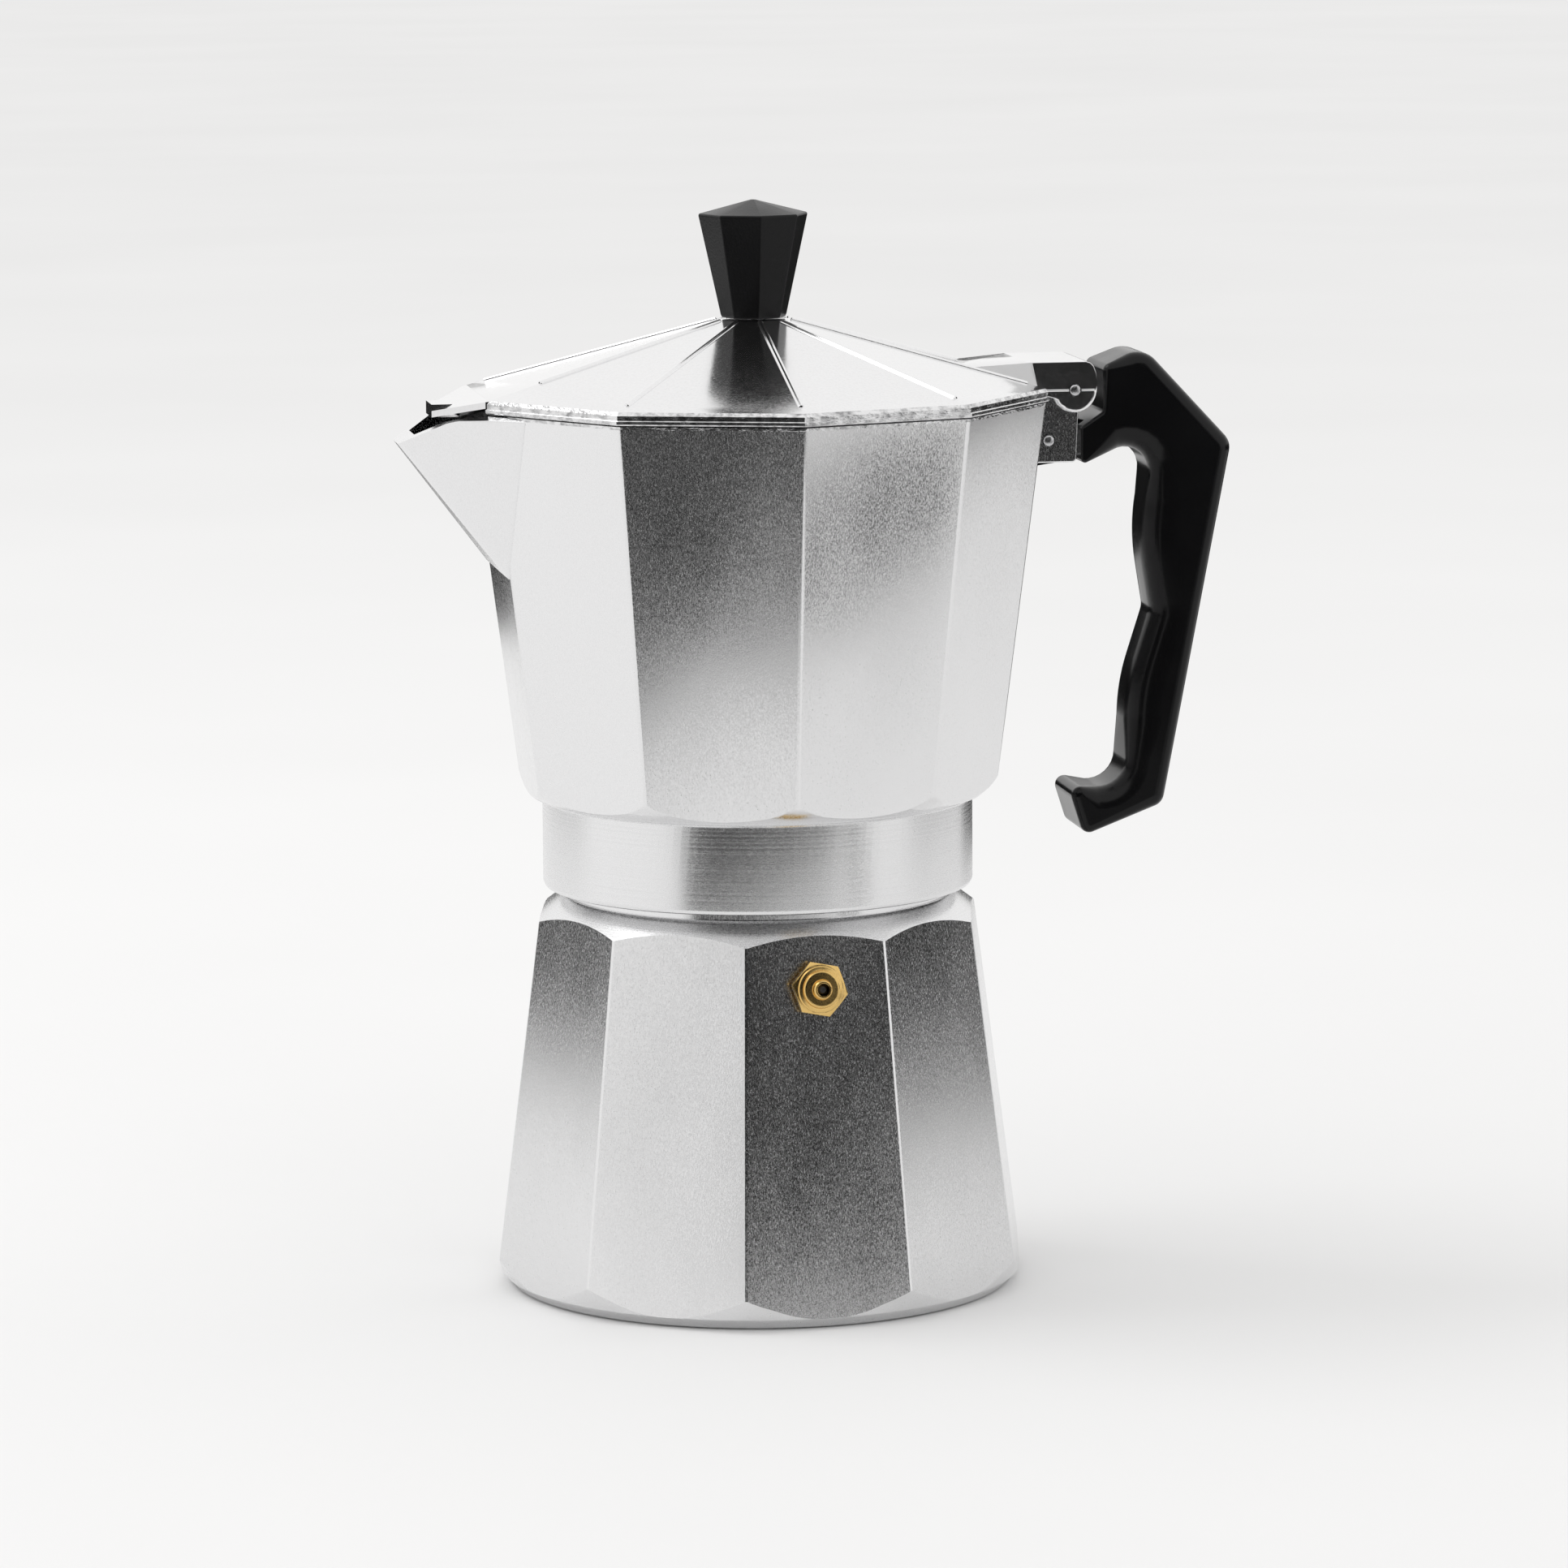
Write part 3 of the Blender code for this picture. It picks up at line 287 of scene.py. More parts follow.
def rounded(corners, count=8):
    # an outline from (x, z, radius) corners, each turned into a smooth curve
    found = []
    for i, (x, z, radius) in enumerate(corners):
        here = Vector((x, z))
        before = Vector(corners[i - 1][:2]) - here
        after = Vector(corners[(i + 1) % len(corners)][:2]) - here
        if not radius:
            found.append((x, z))
            continue
        half = before.angle(after) / 2
        reach = min(radius / math.tan(half), 0.49 * before.length, 0.49 * after.length)
        first = before.normalized() * reach
        last = after.normalized() * reach
        centre = (first + last).normalized() * reach / math.cos(half)
        arm = (first - centre).length
        for k in range(count + 1):
            point = here + centre + arm * (first - centre).slerp(last - centre, k / count)
            found.append((point.x, point.y))
    return found


def finishPiece(piece, body, slot, material, *nodes):
    piece.data.materials.clear()
    piece.data.materials.append(material)
    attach(piece, body)
    if nodes:
        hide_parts(*nodes)


def coat(piece, material, test):
    # a second finish on some of a piece's faces
    piece.data.materials.append(material)
    pick(piece, "FACE", test)
    piece.active_material_index = len(piece.data.materials) - 1
    bpy.ops.object.material_slot_assign()
    endEdit()


def roughen(piece, low, high, inside):
    # the ragged band of an edge that was cut and filed by hand
    ends = 0.93 * collectorSettings["rimCorner"]             # the spout and the hinge keep a clean edge
    coat(piece, raggedAluminium, lambda centre, normal: low < centre.z < high and abs(normal.z) < 0.85
         and inside < math.hypot(centre.x, centre.y) and abs(centre.x) < ends
         and normal.x * centre.x + normal.y * centre.y > 0)


# materials

class Shade:                                  # one output socket, with maths on it
    def __init__(self, tree, socket=None):
        self.tree = tree
        self.socket = socket

    def node(self, kind, settings=None, inputs=None, output=0):
        made = self.tree.nodes.new(kind)
        for name, value in (settings or {}).items():
            setattr(made, name, value)
        for name, value in (inputs or {}).items():
            if isinstance(value, Shade):
                self.tree.links.new(value.socket, made.inputs[name])
            else:
                made.inputs[name].default_value = value
        return Shade(self.tree, made.outputs[output])

    def maths(self, operation, first, second):
        return self.node("ShaderNodeMath", {"operation": operation}, {0: first, 1: second})

    def __add__(self, other):
        return self.maths("ADD", self, other)

    def __sub__(self, other):
        return self.maths("SUBTRACT", self, other)

    def __rsub__(self, other):
        return self.maths("SUBTRACT", other, self)

    def __mul__(self, other):
        return self.maths("MULTIPLY", self, other)

    __radd__ = __add__
    __rmul__ = __mul__


def newMaterial(name, settings):
    material = bpy.data.materials.new(name)
    material.use_nodes = True
    shader = material.node_tree.nodes["Principled BSDF"]
    for socket, value in settings.items():
        shader.inputs[socket].default_value = value
    base = Shade(material.node_tree)
    return material, shader, base


def placed(base, scale=(1, 1, 1)):
    spot = base.node("ShaderNodeTexCoord", output="Object")
    return base.node("ShaderNodeMapping", inputs={"Vector": spot, "Scale": scale})


def noise(base, scale, stretch=(1, 1, 1), detail=2.0, rough=0.5):
    return base.node("ShaderNodeTexNoise", inputs={"Vector": placed(base, stretch), "Scale": scale,
                                                   "Detail": detail, "Roughness": rough})


def spread(value, low, high, toLow=0.0, toHigh=1.0):
    return value.node("ShaderNodeMapRange", {"clamp": True},
                      {"Value": value, "From Min": low, "From Max": high, "To Min": toLow, "To Max": toHigh})


def mixColour(base, share, first, second):
    made = base.tree.nodes.new("ShaderNodeMix")
    made.data_type = "RGBA"
    made.blend_type = "MIX"
    base.tree.links.new(share.socket, made.inputs[0])
    for socket, value in ((6, first), (7, second)):
        if isinstance(value, Shade):
            base.tree.links.new(value.socket, made.inputs[socket])
        else:
            made.inputs[socket].default_value = (*value, 1.0)
    return Shade(base.tree, made.outputs[2])


def feed(base, shader, socket, value):
    base.tree.links.new(value.socket, shader.inputs[socket])


def metal(name, colour, dark, roughness, speckle, grain, stretch, depth, streak=0.5, rings=0.0):
    # a metal with a fine directional grain, duller specks in it and a slow change of polish
    material, shader, base = newMaterial(name, {"Metallic": 1.0})
    fine = noise(base, grain, stretch, 3.0, 0.6)
    sand = noise(base, grain * 0.8, (1, 1, 1), 2.0, 0.6)
    slow = noise(base, 45.0, (1, 1, 0.5), 3.0, 0.55)
    height = fine * streak + sand * (1 - streak)
    if rings:                                 # lines of the lathe, round the pot's axis
        flat = placed(base, (1, 1, 0))
        across = base.node("ShaderNodeVectorMath", {"operation": "LENGTH"}, {0: flat}, "Value")
        up = base.node("ShaderNodeSeparateXYZ", inputs={0: placed(base)}, output="Z")
        lines = base.node("ShaderNodeTexNoise", {"noise_dimensions": "1D"},
                          {"W": (across - up) * 2300.0, "Scale": 1.0, "Detail": 2.0})
        height = height * (1 - rings) + lines * rings
    specks = spread(height, 0.41, 0.65)
    feed(base, shader, "Base Color", mixColour(base, spread(height, 0.34, 0.56), dark, colour))
    polish = spread(slow, 0.3, 0.7, roughness - 0.02, roughness + 0.03)
    feed(base, shader, "Roughness", specks * speckle + polish)
    bump = base.node("ShaderNodeBump", inputs={"Strength": 1.0, "Distance": depth, "Height": height})
    feed(base, shader, "Normal", bump)
    return material


castAluminium = metal("castAluminium", (0.82, 0.82, 0.825), (0.76, 0.76, 0.765), roughness=0.12,
                      speckle=0.17, grain=5200.0, stretch=(1, 1, 0.34), depth=0.000005, streak=0.65)
sheetAluminium = metal("sheetAluminium", (0.85, 0.85, 0.855), (0.80, 0.80, 0.805), roughness=0.11,
                       speckle=0.06, grain=2200.0, stretch=(1, 1, 1), depth=0.000003)
turnedAluminium = metal("turnedAluminium", (0.82, 0.82, 0.825), (0.74, 0.74, 0.745), roughness=0.20,
                        speckle=0.12, grain=5200.0, stretch=(0.3, 0.3, 1), depth=0.000008, streak=0.6,
                        rings=0.3)
raggedAluminium = metal("raggedAluminium", (0.80, 0.80, 0.805), (0.30, 0.30, 0.305), roughness=0.14,
                        speckle=0.10, grain=700.0, stretch=(0.8, 0.8, 1.8), depth=0.00022, streak=0.6)
brass = metal("brass", (0.76, 0.52, 0.19), (0.66, 0.43, 0.15), roughness=0.17, speckle=0.06, grain=5200.0,
              stretch=(1, 1, 1), depth=0.000005)
steel = metal("steel", (0.60, 0.60, 0.61), (0.42, 0.42, 0.43), roughness=0.20, speckle=0.10, grain=2600.0,
              stretch=(1, 1, 1), depth=0.000008)
# near-black steel for the valve's plunger: painted shade, since the plunger sits deep in the shadowed hole of the
# valve
steelInPaintedShade = metal("steelInPaintedShade", (0.10, 0.10, 0.10), (0.05, 0.05, 0.05), roughness=0.32, speckle=0.10,
                  grain=2600.0, stretch=(1, 1, 1), depth=0.000008)


def plastic(name, colour, roughness, grain, depth, gloss):
    # a moulded skin: fine grain, a slow change of gloss
    material, shader, base = newMaterial(name, {"IOR": 1.5, "Specular IOR Level": gloss})
    skin = noise(base, grain, (1, 1, 1), 2.0)
    slow = noise(base, 60.0, (1, 1, 1), 2.0)
    feed(base, shader, "Base Color", mixColour(base, slow, colour, tuple(c * 1.5 for c in colour)))
    feed(base, shader, "Roughness", spread(slow, 0.3, 0.7, roughness - 0.04, roughness + 0.05))
    bump = base.node("ShaderNodeBump", inputs={"Strength": 1.0, "Distance": depth, "Height": skin})
    feed(base, shader, "Normal", bump)
    return material


blackPlastic = plastic("blackPlastic", (0.003, 0.003, 0.0033), roughness=0.20, grain=1500.0, depth=0.000003,
                       gloss=0.22)
stippledPlastic = plastic("stippledPlastic", (0.003, 0.003, 0.0033), roughness=0.32, grain=2600.0,
                          depth=0.000030, gloss=0.22)
whiteRubber = plastic("whiteRubber", (0.80, 0.78, 0.73), roughness=0.6, grain=900.0, depth=0.00001,
                      gloss=0.5)


# camera, floor and light

cameraSettings = {"azimuth": -9.634, "reach": 1.2977, "side": 0.0051, "height": 0.28957, "pitch": 8.525,
                  "roll": -0.4006, "lens": 158.3, "sensor": 36}
stageSettings = {
    "floorRadius": 14, "floorZ": -0.0002, "floorLow": (0.80, 0.80, 0.80), "floorHigh": (0.86, 0.86, 0.86),
    "wallRadius": 13.5, "wallHeight": 16, "wallMiddle": 7.9, "wallTone": (0.835, 0.832, 0.828, 1),
}
lightSettings = {
    "worldTone": (1.0, 0.995, 0.99, 1), "worldStrength": 1.0, "keyWatts": 5, "keySize": 0.8,
    "keyPlace": (-0.9, 0.3, 1.4), "keyAim": (0, 0, 0.1), "cardZ": 0.004, "cardTone": (0.01, 0.01, 0.01, 1),
}


def makeCamera():
    settings = cameraSettings
    turn = math.radians(settings["azimuth"])
    across = Vector((math.cos(turn), math.sin(turn), 0))
    ahead = Vector((-math.sin(turn), math.cos(turn), 0))
    data = bpy.data.cameras.new("mainCamera")
    data.lens = settings["lens"]
    data.sensor_width = settings["sensor"]
    camera = bpy.data.objects.new("mainCamera", data)
    bpy.context.scene.collection.objects.link(camera)
    height = Vector((0, 0, settings["height"]))
    camera.location = across * settings["side"] - ahead * settings["reach"] + height
    tilt = Matrix.Rotation(turn, 4, "Z") @ Matrix.Rotation(math.radians(90 - settings["pitch"]), 4, "X")
    roll = Matrix.Rotation(math.radians(settings["roll"]), 4, "Z")
    camera.rotation_euler = (tilt @ roll).to_euler()
    bpy.context.scene.camera = camera
    return turn


def makeFloor():
    s = stageSettings
    deselectAll()
    bpy.ops.mesh.primitive_circle_add(vertices=64, radius=s["floorRadius"], fill_type="NGON",
                                      location=(0, 0, s["floorZ"]))
    floor = bpy.context.object
    floor.name = "floor"
    material, shader, base = newMaterial("paleFloor", {"Roughness": 0.9, "Specular IOR Level": 0.0})
    slow = noise(base, 3.0, (1, 1, 1), 3.0)
    feed(base, shader, "Base Color", mixColour(base, slow, s["floorLow"], s["floorHigh"]))
    floor.data.materials.append(material)
    floor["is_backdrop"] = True


def makeBackdrop():
    # a far wall in the floor's own tone, so that no horizon shows behind the pot
    s = stageSettings
    deselectAll()
    bpy.ops.mesh.primitive_cylinder_add(vertices=96, radius=s["wallRadius"], depth=s["wallHeight"],
                                        end_fill_type="NOTHING", location=(0, 0, s["wallMiddle"]))
    wall = bpy.context.object
    wall.name = "backdrop"
    paint = {"Base Color": (0, 0, 0, 1), "Roughness": 1.0, "Specular IOR Level": 0.0,
             "Emission Color": s["wallTone"], "Emission Strength": 1.0}
    wall.data.materials.append(newMaterial("paleWall", paint)[0])
    seenOnlyBy(wall, "camera")
    wall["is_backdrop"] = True


def seenOnlyBy(thing, ray):
    for other in ("camera", "diffuse", "glossy", "shadow", "transmission", "volume_scatter"):
        setattr(thing, "visible_" + other, other == ray)


def cardArc(start, end, distance, steps=12):
    # (angle, distance) points along an arc about the pot
    return [(start + (end - start) * i / steps, distance) for i in range(steps + 1)]


def sector(start, end, near, far, nearEnd=None, steps=12):
    # a piece of floor between two distances; its near edge may move out towards the end angle
    grow = (nearEnd or near) - near
    back = [(end - (end - start) * i / steps, near + grow * (1 - i / steps) ** 2) for i in range(steps + 1)]
    return cardArc(start, end, far, steps) + back


def darkCard(name, points, height=None):
    # a black card that only reflections see; points are (angle from the camera, distance) in degrees and
    # metres, and a card with a height stands up
    s = lightSettings
    turn = cameraTurn - math.pi / 2
    chain = []
    for degrees, distance in points:
        angle = turn + math.radians(degrees)
        chain.append((distance * math.cos(angle), distance * math.sin(angle), s["cardZ"]))
    card = startPoint(name, *chain[0])
    drawChain(chain)
    bpy.ops.mesh.select_all(action="SELECT")
    if height is None:
        bpy.ops.mesh.edge_face_add()
    else:
        bpy.ops.mesh.extrude_edges_move(TRANSFORM_OT_translate={"value": (0, 0, height)})
    endEdit()
    card.data.materials.append(newMaterial(name, {"Base Color": s["cardTone"], "Roughness": 1.0})[0])
    seenOnlyBy(card, "glossy")
    card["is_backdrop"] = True


def makeLights():
    s = lightSettings
    world = bpy.data.worlds.new("studio")
    bpy.context.scene.world = world
    world.use_nodes = True
    back = world.node_tree.nodes["Background"]
    back.inputs["Color"].default_value = s["worldTone"]
    back.inputs["Strength"].default_value = s["worldStrength"]
    darkCard("frontCard", sector(-38, 40, 0.316, 1.25, 0.52))
    darkCard("frontWall", cardArc(-38, 40, 1.25), 0.75)
    darkCard("sideCard", sector(40, 54, 0.60, 1.25))
    darkCard("blotchCard", sector(46, 60, 0.42, 0.52))
    darkCard("rearCard", sector(138, 182, 0.50, 1.12))
    darkCard("backFloor", sector(86, 256, 0.80, 1.12))
    darkCard("backWall", cardArc(86, 256, 1.12, 24), 0.21)
    key = bpy.data.lights.new("keyLight", "AREA")
    key.energy = s["keyWatts"]
    key.size = s["keySize"]
    lamp = bpy.data.objects.new("keyLight", key)
    bpy.context.scene.collection.objects.link(lamp)
    lamp.location = s["keyPlace"]
    lamp.rotation_euler = (Vector(s["keyAim"]) - lamp.location).to_track_quat("-Z", "Y").to_euler()


print("camera, floor and light")
cameraTurn = makeCamera()
makeFloor()
makeBackdrop()
makeLights()
bpy.context.scene.view_settings.view_transform = "Standard"


# boiler

boilerSettings = {
    "turn": math.radians(5.6), "baseCorner": 52.3 * mm, "topCorner": 43.0 * mm, "flatsTop": 70.7 * mm,
    "footRadius": 48.2 * mm, "bevelRadius": 52.0 * mm, "bevelTop": 7.5 * mm, "shoulderSlope": 0.76,
    "neckRadius": 37.4 * mm, "neckWall": 4.4 * mm, "floor": 4 * mm, "wall": 3.6 * mm, "crease": 0.35 * mm,
    "threadDepth": 0.5 * mm, "threadPitch": 2.2 * mm, "valveZ": 62.7 * mm, "turnedFrom": 61.7 * mm,
}


def boilerCorner(z):
    s = boilerSettings
    return s["baseCorner"] + (s["topCorner"] - s["baseCorner"]) * z / s["flatsTop"]


def makeBoiler():
    s = boilerSettings
    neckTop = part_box("boiler")[1].z
    shoulderTop = s["flatsTop"] + s["shoulderSlope"] * (s["topCorner"] - s["neckRadius"])
    over = 8 * mm
    top = s["flatsTop"] + over
    boiler = faceted("boilerShell", [(boilerCorner(0), 0), (boilerCorner(top), top)], turn=s["turn"])
    pick(boiler, "EDGE", lambda a, b: abs(a.z - b.z) > 10 * mm)
    bpy.ops.mesh.bevel(offset=s["crease"], segments=4, affect="EDGES")
    endEdit()
    foot = [(0, 0.5 * mm), (38 * mm, 0.5 * mm), (38.5 * mm, 0), (s["footRadius"] - 1.2 * mm, 0),
            (s["footRadius"] - 0.4 * mm, 0.15 * mm), (s["footRadius"], 0.6 * mm),
            (s["footRadius"] + 0.3 * mm, 1.0 * mm), (s["footRadius"] + 1.4 * mm, 2.0 * mm),
            (s["bevelRadius"] - 1.6 * mm, 4.0 * mm),
            (s["bevelRadius"] - 0.6 * mm, 5.8 * mm), (s["bevelRadius"], s["bevelTop"])]
    shoulder = [(s["topCorner"] + 4 * mm, s["flatsTop"] - s["shoulderSlope"] * 4 * mm),
                (s["neckRadius"] + 0.6 * mm, shoulderTop - 0.45 * mm), (s["neckRadius"], shoulderTop)]
    root = s["neckRadius"] - 0.5 * mm
    neck = [(0, shoulderTop - 2 * mm), (root, shoulderTop - 2 * mm), (root, shoulderTop + 0.3 * mm),
            (root, neckTop - 0.9 * mm), (s["neckRadius"] - 1.3 * mm, neckTop), (0, neckTop)]
    combine(boiler, turned("boilerEnvelope", foot + shoulder + [(0, shoulderTop)], 160), "INTERSECT")
    join(boiler, turned("neckShape", neck, 160))
    bore = s["neckRadius"] - s["neckWall"]
    low = flatShare * boilerCorner(10 * mm) - s["wall"]
    high = flatShare * boilerCorner(s["flatsTop"]) - s["wall"]
    cavity = [(0, s["floor"]), (low - 3 * mm, s["floor"]), (low - 0.9 * mm, s["floor"] + 0.9 * mm),
              (low, s["floor"] + 4 * mm), (high, s["flatsTop"] - 4 * mm), (bore, shoulderTop - mm),
              (bore, neckTop - 0.6 * mm), (bore + 0.6 * mm, neckTop),
              (bore + 0.6 * mm, neckTop + 4 * mm), (0, neckTop + 4 * mm)]
    cut(boiler, turned("cavity", cavity, 96))
    hole = turned("valveHole", [(0, -12 * mm), (4.2 * mm, -12 * mm), (4.2 * mm, 6 * mm), (0, 6 * mm)], 32)
    hole.matrix_world = valvePlace
    cut(boiler, hole)
    softenEdges(boiler, 0.15 * mm, 2, 22)
    shadeRound(boiler)
    finishPiece(boiler, "boiler", "cast_aluminium", castAluminium, "boiler")
    coat(boiler, turnedAluminium, lambda centre, normal: centre.z > s["turnedFrom"] and normal.z > 0.4)
    makeThread(shoulderTop + 0.9 * mm, neckTop - 1.0 * mm)


def makeThread(low, high):
    # a raised helix round the neck
    s = boilerSettings
    root = s["neckRadius"] - 0.6 * mm
    crest = root + s["threadDepth"] + 0.35 * mm
    half = s["threadPitch"] * 0.36
    profile = [(root, -half), (crest, -half * 0.25), (crest, half * 0.25), (root, half)]
    piece = startPoint("neckThread", root, 0, low - half)
    drawChain([(r, 0, z) for r, z in profile])
    endEdit()
    screw = piece.modifiers.new("screw", "SCREW")
    screw.steps = 96
    screw.render_steps = 96
    screw.screw_offset = s["threadPitch"]
    screw.iterations = max(1, int((high - low - 2 * half) / s["threadPitch"]))
    screw.merge_threshold = 1e-6
    screw.use_merge_vertices = False
    focus(piece)
    bpy.ops.object.modifier_apply(modifier="screw")
    startEdit()
    bpy.ops.mesh.select_all(action="SELECT")
    bpy.ops.mesh.fill_holes(sides=0)
    cleanMesh(1e-7)
    shadeRound(piece, 35)
    finishPiece(piece, "boiler", "cast_aluminium", turnedAluminium)


def findValvePlace():
    # where the valve's axis meets its facet; +Z points out of the facet
    s = boilerSettings
    outward = Vector(jointNamed("valve_travel")["axis"]).normalized()
    angle = math.atan2(outward.y, outward.x)
    height = s["valveZ"]
    radius = flatShare * boilerCorner(height)
    foot = Vector((radius * math.cos(angle), radius * math.sin(angle), height))
    return Matrix.Translation(foot) @ outward.to_track_quat("Z", "Y").to_matrix().to_4x4()


valvePlace = findValvePlace()
print("boiler")
makeBoiler()


# safety valve

valveSettings = {
    "turn": math.radians(-12), "hex": 9.4 * mm, "hexLow": 1.0 * mm, "hexTop": 2.3 * mm, "noseZ": 3.5 * mm,
    "tipZ": 4.5 * mm, "noseRadius": 1.8 * mm, "bore": 1.2 * mm, "shank": 3.9 * mm, "shankIn": 8.2 * mm,
    "chamber": 2.4 * mm,
}


def makeValve():
    s = valveSettings
    corner = s["hex"] / 2 / math.cos(math.pi / 6)
    flat = s["hex"] / 2
    body = faceted("valveBody", [(corner, s["hexLow"]), (corner, s["hexTop"])], 6, s["turn"])
    top = turned("hexChamfer", [(0, 0), (flat + 0.1 * mm, 0), (corner + 0.1 * mm, s["hexLow"] + 0.5 * mm),
                                (corner + 0.1 * mm, s["hexTop"] - 0.45 * mm),
                                (flat - 0.1 * mm, s["hexTop"]), (0, s["hexTop"])], 64)
    combine(body, top, "INTERSECT")
    cone = [(0, -s["shankIn"]), (s["shank"] - 0.4 * mm, -s["shankIn"]),
            (s["shank"], -s["shankIn"] + 0.4 * mm), (s["shank"], s["hexLow"] + 0.3 * mm),
            (flat - 0.35 * mm, s["hexLow"] + 0.3 * mm), (flat - 0.35 * mm, s["hexTop"] + 0.25 * mm),
            (flat - 0.55 * mm, s["hexTop"] + 0.45 * mm),
            (flat - 1.15 * mm, s["hexTop"] + 0.5 * mm), (flat - 1.25 * mm, s["hexTop"] + 0.95 * mm),
            (flat - 1.45 * mm, s["noseZ"] - 0.05 * mm), (flat - 1.8 * mm, s["noseZ"]),
            (s["noseRadius"] + 0.15 * mm, s["noseZ"] - 0.1 * mm), (s["noseRadius"], s["noseZ"] + 0.15 * mm),
            (s["noseRadius"] - 0.05 * mm, s["tipZ"] - 0.3 * mm), (s["noseRadius"] - 0.3 * mm, s["tipZ"]),
            (0, s["tipZ"])]
    join(body, turned("stemShape", cone, 64))
    cut(body, turned("valveBore", [(0, -s["shankIn"] - mm), (s["chamber"], -s["shankIn"] - mm),
                                   (s["chamber"], s["hexTop"]), (s["bore"], s["hexTop"] + 0.6 * mm),
                                   (s["bore"], s["tipZ"] + mm), (0, s["tipZ"] + mm)], 48))
    softenEdges(body, 0.08 * mm, 2, 30)
    body.matrix_world = valvePlace
    focus(body)
    bpy.ops.object.transform_apply(location=True, rotation=True, scale=True)
    shadeRound(body)
    finishPiece(body, "boiler", "brass", brass, "valve_body")


print("safety valve")
makeValve()


# collector: ten-sided upper body with collar, spout and lugs

collectorSettings = {
    "collarRadius": 40.9 * mm, "collarTop": 93.0 * mm, "lowCorner": 46.2 * mm, "lowZ": 97.6 * mm,
    "rimCorner": 55.36 * mm, "rimZ": 168.2 * mm, "wall": 2.2 * mm, "floor": 98.6 * mm, "crease": 0.6 * mm,
    "spoutFootZ": 136.8 * mm, "tipX": 68.0 * mm, "tipZ": 161.8 * mm, "tipHalf": 1.6 * mm,
    "sideShift": 10.7 * mm, "lipX": 59.5 * mm, "lipZ": 166.8 * mm, "lugIn": 5.0 * mm, "lugOut": 8.7 * mm,
    "boss": 3.1 * mm, "lugEnd": 60.3 * mm, "lugLow": 156 * mm, "pinRadius": 1.1 * mm,
    "raggedHeight": 0.55 * mm, "rivetX": 54.9 * mm, "rivetZ": 160.2 * mm,
}


def bodyCorner(z):
    s = collectorSettings
    return s["lowCorner"] + (s["rimCorner"] - s["lowCorner"]) * (z - s["lowZ"]) / (s["rimZ"] - s["lowZ"])


def spoutCorners(shrink, rise, top):
    s = collectorSettings
    footRadius = bodyCorner(s["spoutFootZ"]) - shrink
    footZ = s["spoutFootZ"] + rise
    tipX = s["tipX"] - shrink * 1.3
    tipHalf = max(s["tipHalf"] - shrink * 0.55, 0.4 * mm)
    tipZ = s["tipZ"] + rise * 0.9
    rimRadius = bodyCorner(top) * flatShare - shrink
    offset = bodyCorner(top) * math.sin(halfStep) - s["sideShift"] - shrink
    along = math.pi - 2 * halfStep
    lift = (top - tipZ) * (s["tipX"] - 48.8 * mm) / (s["tipZ"] - s["spoutFootZ"])
    return mirrored([
        (-footRadius * math.cos(halfStep), footRadius * math.sin(halfStep), footZ),
        (rimRadius * math.cos(along) - offset * math.sin(along),
         rimRadius * math.sin(along) + offset * math.cos(along), top),
        (-tipX, tipHalf, tipZ), (-tipX - lift, tipHalf, top),
        (-30 * mm, 10 * mm, footZ), (-30 * mm, 10 * mm, top)])


def lugOutline(pinX, pinZ):
    s = collectorSettings
    root = flatShare * bodyCorner(s["lugLow"]) - 1.2 * mm
    shelf = s["rimZ"] - 0.3 * mm
    points = [(root, s["lugLow"]), (s["lugEnd"] - 0.5 * mm, s["lugLow"]),
              (s["lugEnd"], s["lugLow"] + 0.6 * mm), (s["lugEnd"] + 0.4 * mm, pinZ - s["boss"] - 0.6 * mm)]
    points += arcPoints((pinX, pinZ), s["boss"], -60, 180, 20)
    return points + [(pinX - s["boss"] - 1.6 * mm, shelf), (root, shelf)]


